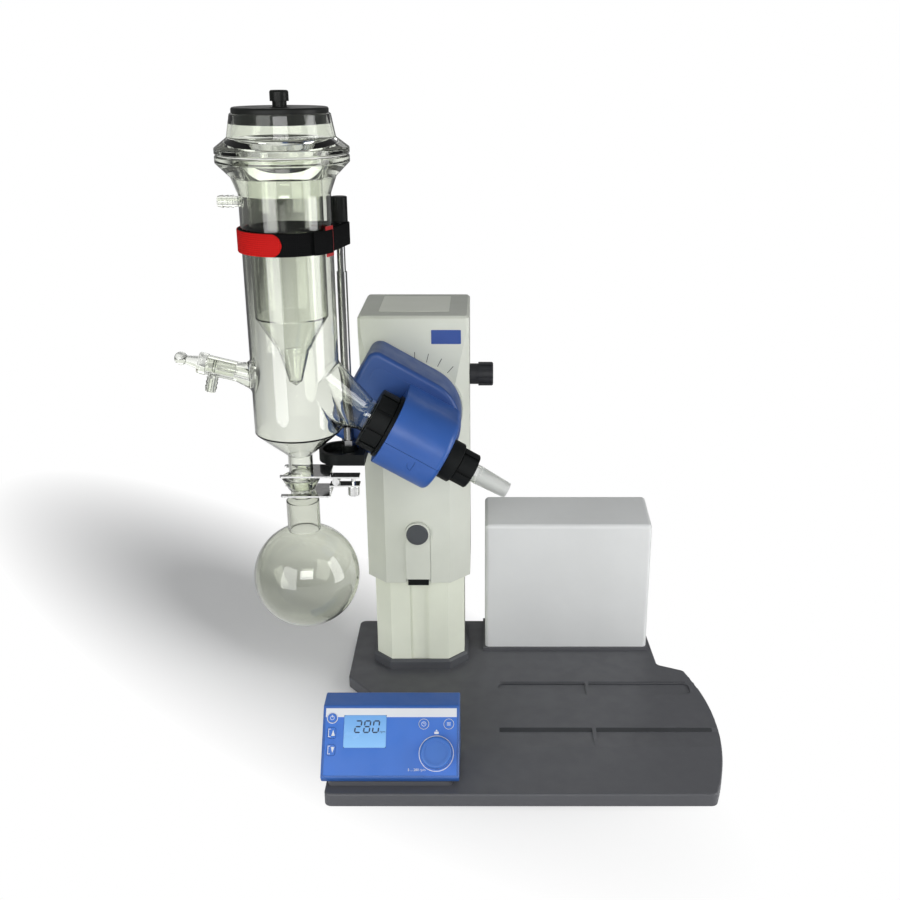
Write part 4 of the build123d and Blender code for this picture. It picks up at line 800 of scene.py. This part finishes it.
def floor_material():
    """White floor: plainly lit, with its real shading and shadows, only in a painted shadow band that fades
    into a white glow; the glow is dimmer far aside through glass, a painted shade on the glass's edges.
    """
    mat, tree, shader = new_material("floor_white")
    shader.inputs["Base Color"].default_value = (0.92, 0.92, 0.92, 1)
    shader.inputs["Roughness"].default_value = 0.9
    shader.inputs["Specular IOR Level"].default_value = 0.1
    place = tree.nodes.new("ShaderNodeTexCoord")
    # Painted shadow band: a mask laid back to the left where the glow gives way to the grey lit floor
    painted_shadow_map = add_node(
        tree, "ShaderNodeMapping", vector_type="TEXTURE", Location=PAINTED_SHADOW_PLACE,
        Rotation=(0, 0, PAINTED_SHADOW_TURN), Scale=PAINTED_SHADOW_SIZE,
    )
    reach = add_node(tree, "ShaderNodeVectorMath", operation="LENGTH")
    tree.links.new(place.outputs["Object"], painted_shadow_map.inputs["Vector"])
    tree.links.new(painted_shadow_map.outputs["Vector"], reach.inputs[0])
    fade = spread(tree, reach.outputs["Value"], low=0, high=1, start=0.30, end=1.15)

    # Painted shade through the glass: the glow loses strength for rays through the glass, more so far from
    # its middle
    path = tree.nodes.new("ShaderNodeLightPath")
    split = tree.nodes.new("ShaderNodeSeparateXYZ")
    tree.links.new(place.outputs["Object"], split.inputs["Vector"])
    aside = math_node(tree, "SUBTRACT", split.outputs["X"], GLASS_XY.x)
    apart = math_node(tree, "ABSOLUTE", aside)
    painted_glass_dimming = spread(tree, apart, low=0.06, high=0.88, start=0.25, end=1.1)
    loss = math_node(tree, "MULTIPLY", path.outputs["Is Transmission Ray"], painted_glass_dimming)
    glow = add_node(tree, "ShaderNodeEmission")
    glow.inputs["Color"].default_value = (1, 1, 1, 1)
    tree.links.new(math_node(tree, "SUBTRACT", 1.0, loss), glow.inputs["Strength"])

    # The glow shows to the camera and through the glass only
    seen = math_node(
        tree, "MAXIMUM", path.outputs["Is Camera Ray"], path.outputs["Is Transmission Ray"]
    )
    pick = tree.nodes.new("ShaderNodeMixShader")
    tree.links.new(math_node(tree, "MULTIPLY", fade, seen), pick.inputs["Fac"])
    tree.links.new(shader.outputs["BSDF"], pick.inputs[1])
    tree.links.new(glow.outputs["Emission"], pick.inputs[2])
    tree.links.new(pick.outputs["Shader"], tree.nodes["Material Output"].inputs["Surface"])
    return mat


build = bmesh.new()
bmesh.ops.create_grid(build, x_segments=1, y_segments=1, size=FLOOR_HALF)
floor_mesh = bpy.data.meshes.new("floor")
build.to_mesh(floor_mesh)
build.free()
floor = bpy.data.objects.new("floor", floor_mesh)
scene.collection.objects.link(floor)
floor.location = (0, 0, -FLOOR_CLEAR)
floor_mesh.materials.append(floor_material())


def by_ray(tree, ray, plain, chosen):
    """Colour that changes from plain to chosen for one kind of ray."""
    node = add_node(tree, "ShaderNodeMix", data_type="RGBA")
    ends = [s for s in node.inputs if s.type == "RGBA"]
    tree.links.new(plain, ends[0])
    if chosen is None:
        ends[1].default_value = (1, 1, 1, 1)
    else:
        tree.links.new(chosen, ends[1])
    tree.links.new(ray, node.inputs["Factor"])
    return [s for s in node.outputs if s.type == "RGBA"][0]


def studio_world():
    """Room that is white to the camera, dim to what reflects it and pale at the back through glass."""
    world = bpy.data.worlds.new("studio")
    world.use_nodes = True
    tree = world.node_tree
    sky = tree.nodes["Background"]
    place = tree.nodes.new("ShaderNodeTexCoord")
    parts = tree.nodes.new("ShaderNodeSeparateXYZ")
    tree.links.new(place.outputs["Generated"], parts.inputs["Vector"])
    back = spread(tree, parts.outputs["Y"], low=0, high=1, start=0.35, end=0.85)
    dim = two_tone(tree, back, (0.18, 0.185, 0.19), (0.22, 0.22, 0.22))
    clear = two_tone(tree, back, (0.06, 0.065, 0.06), (0.88, 0.90, 0.84))
    path = tree.nodes.new("ShaderNodeLightPath")
    through_glass = by_ray(tree, path.outputs["Is Transmission Ray"], dim, clear)
    seen = by_ray(tree, path.outputs["Is Camera Ray"], through_glass, None)
    tree.links.new(seen, sky.inputs["Color"])
    sky.inputs["Strength"].default_value = 1.0
    return world


scene.world = studio_world()


def lamp(name, place, target, width, height, power):
    """Soft rectangular lamp aimed at a point."""
    light = bpy.data.lights.new(name, "AREA")
    light.shape = "RECTANGLE"
    light.size = width
    light.size_y = height
    light.energy = power
    made = bpy.data.objects.new(name, light)
    scene.collection.objects.link(made)
    made.location = place
    aim = Vector(target) - Vector(place)
    made.rotation_euler = aim.to_track_quat("-Z", "Y").to_euler()


FRONT_AIM = (0, 0, 0.35)
GLASS_AIM = (-0.195, -0.047, 0.55)
REAR_AIM = (0, 0, 0.3)
lamp("front_lamp", (0.15, -2.30, 1.20), FRONT_AIM, width=1.2, height=0.8, power=19)
lamp("left_box", (-0.865, -1.161, 0.58), GLASS_AIM, width=0.8, height=1.1, power=10)
lamp("right_box", (1.036, -0.264, 0.58), GLASS_AIM, width=0.55, height=1.1, power=8)
lamp("rear_lamp", (-0.4, 1.8, 1.6), REAR_AIM, width=1.6, height=0.8, power=2.8)

CAMERA_DROP = 19.6
camera_data = bpy.data.cameras.new("camera")
camera = bpy.data.objects.new("camera", camera_data)
scene.collection.objects.link(camera)
camera.location = (0.0295, -1.3215, 0.855)
camera.rotation_euler = (radians(90 - CAMERA_DROP), 0, 0)
camera_data.sensor_width = 36
camera_data.lens = 43.8
camera_data.shift_x = -0.0356
scene.camera = camera
scene.view_settings.view_transform = "Standard"
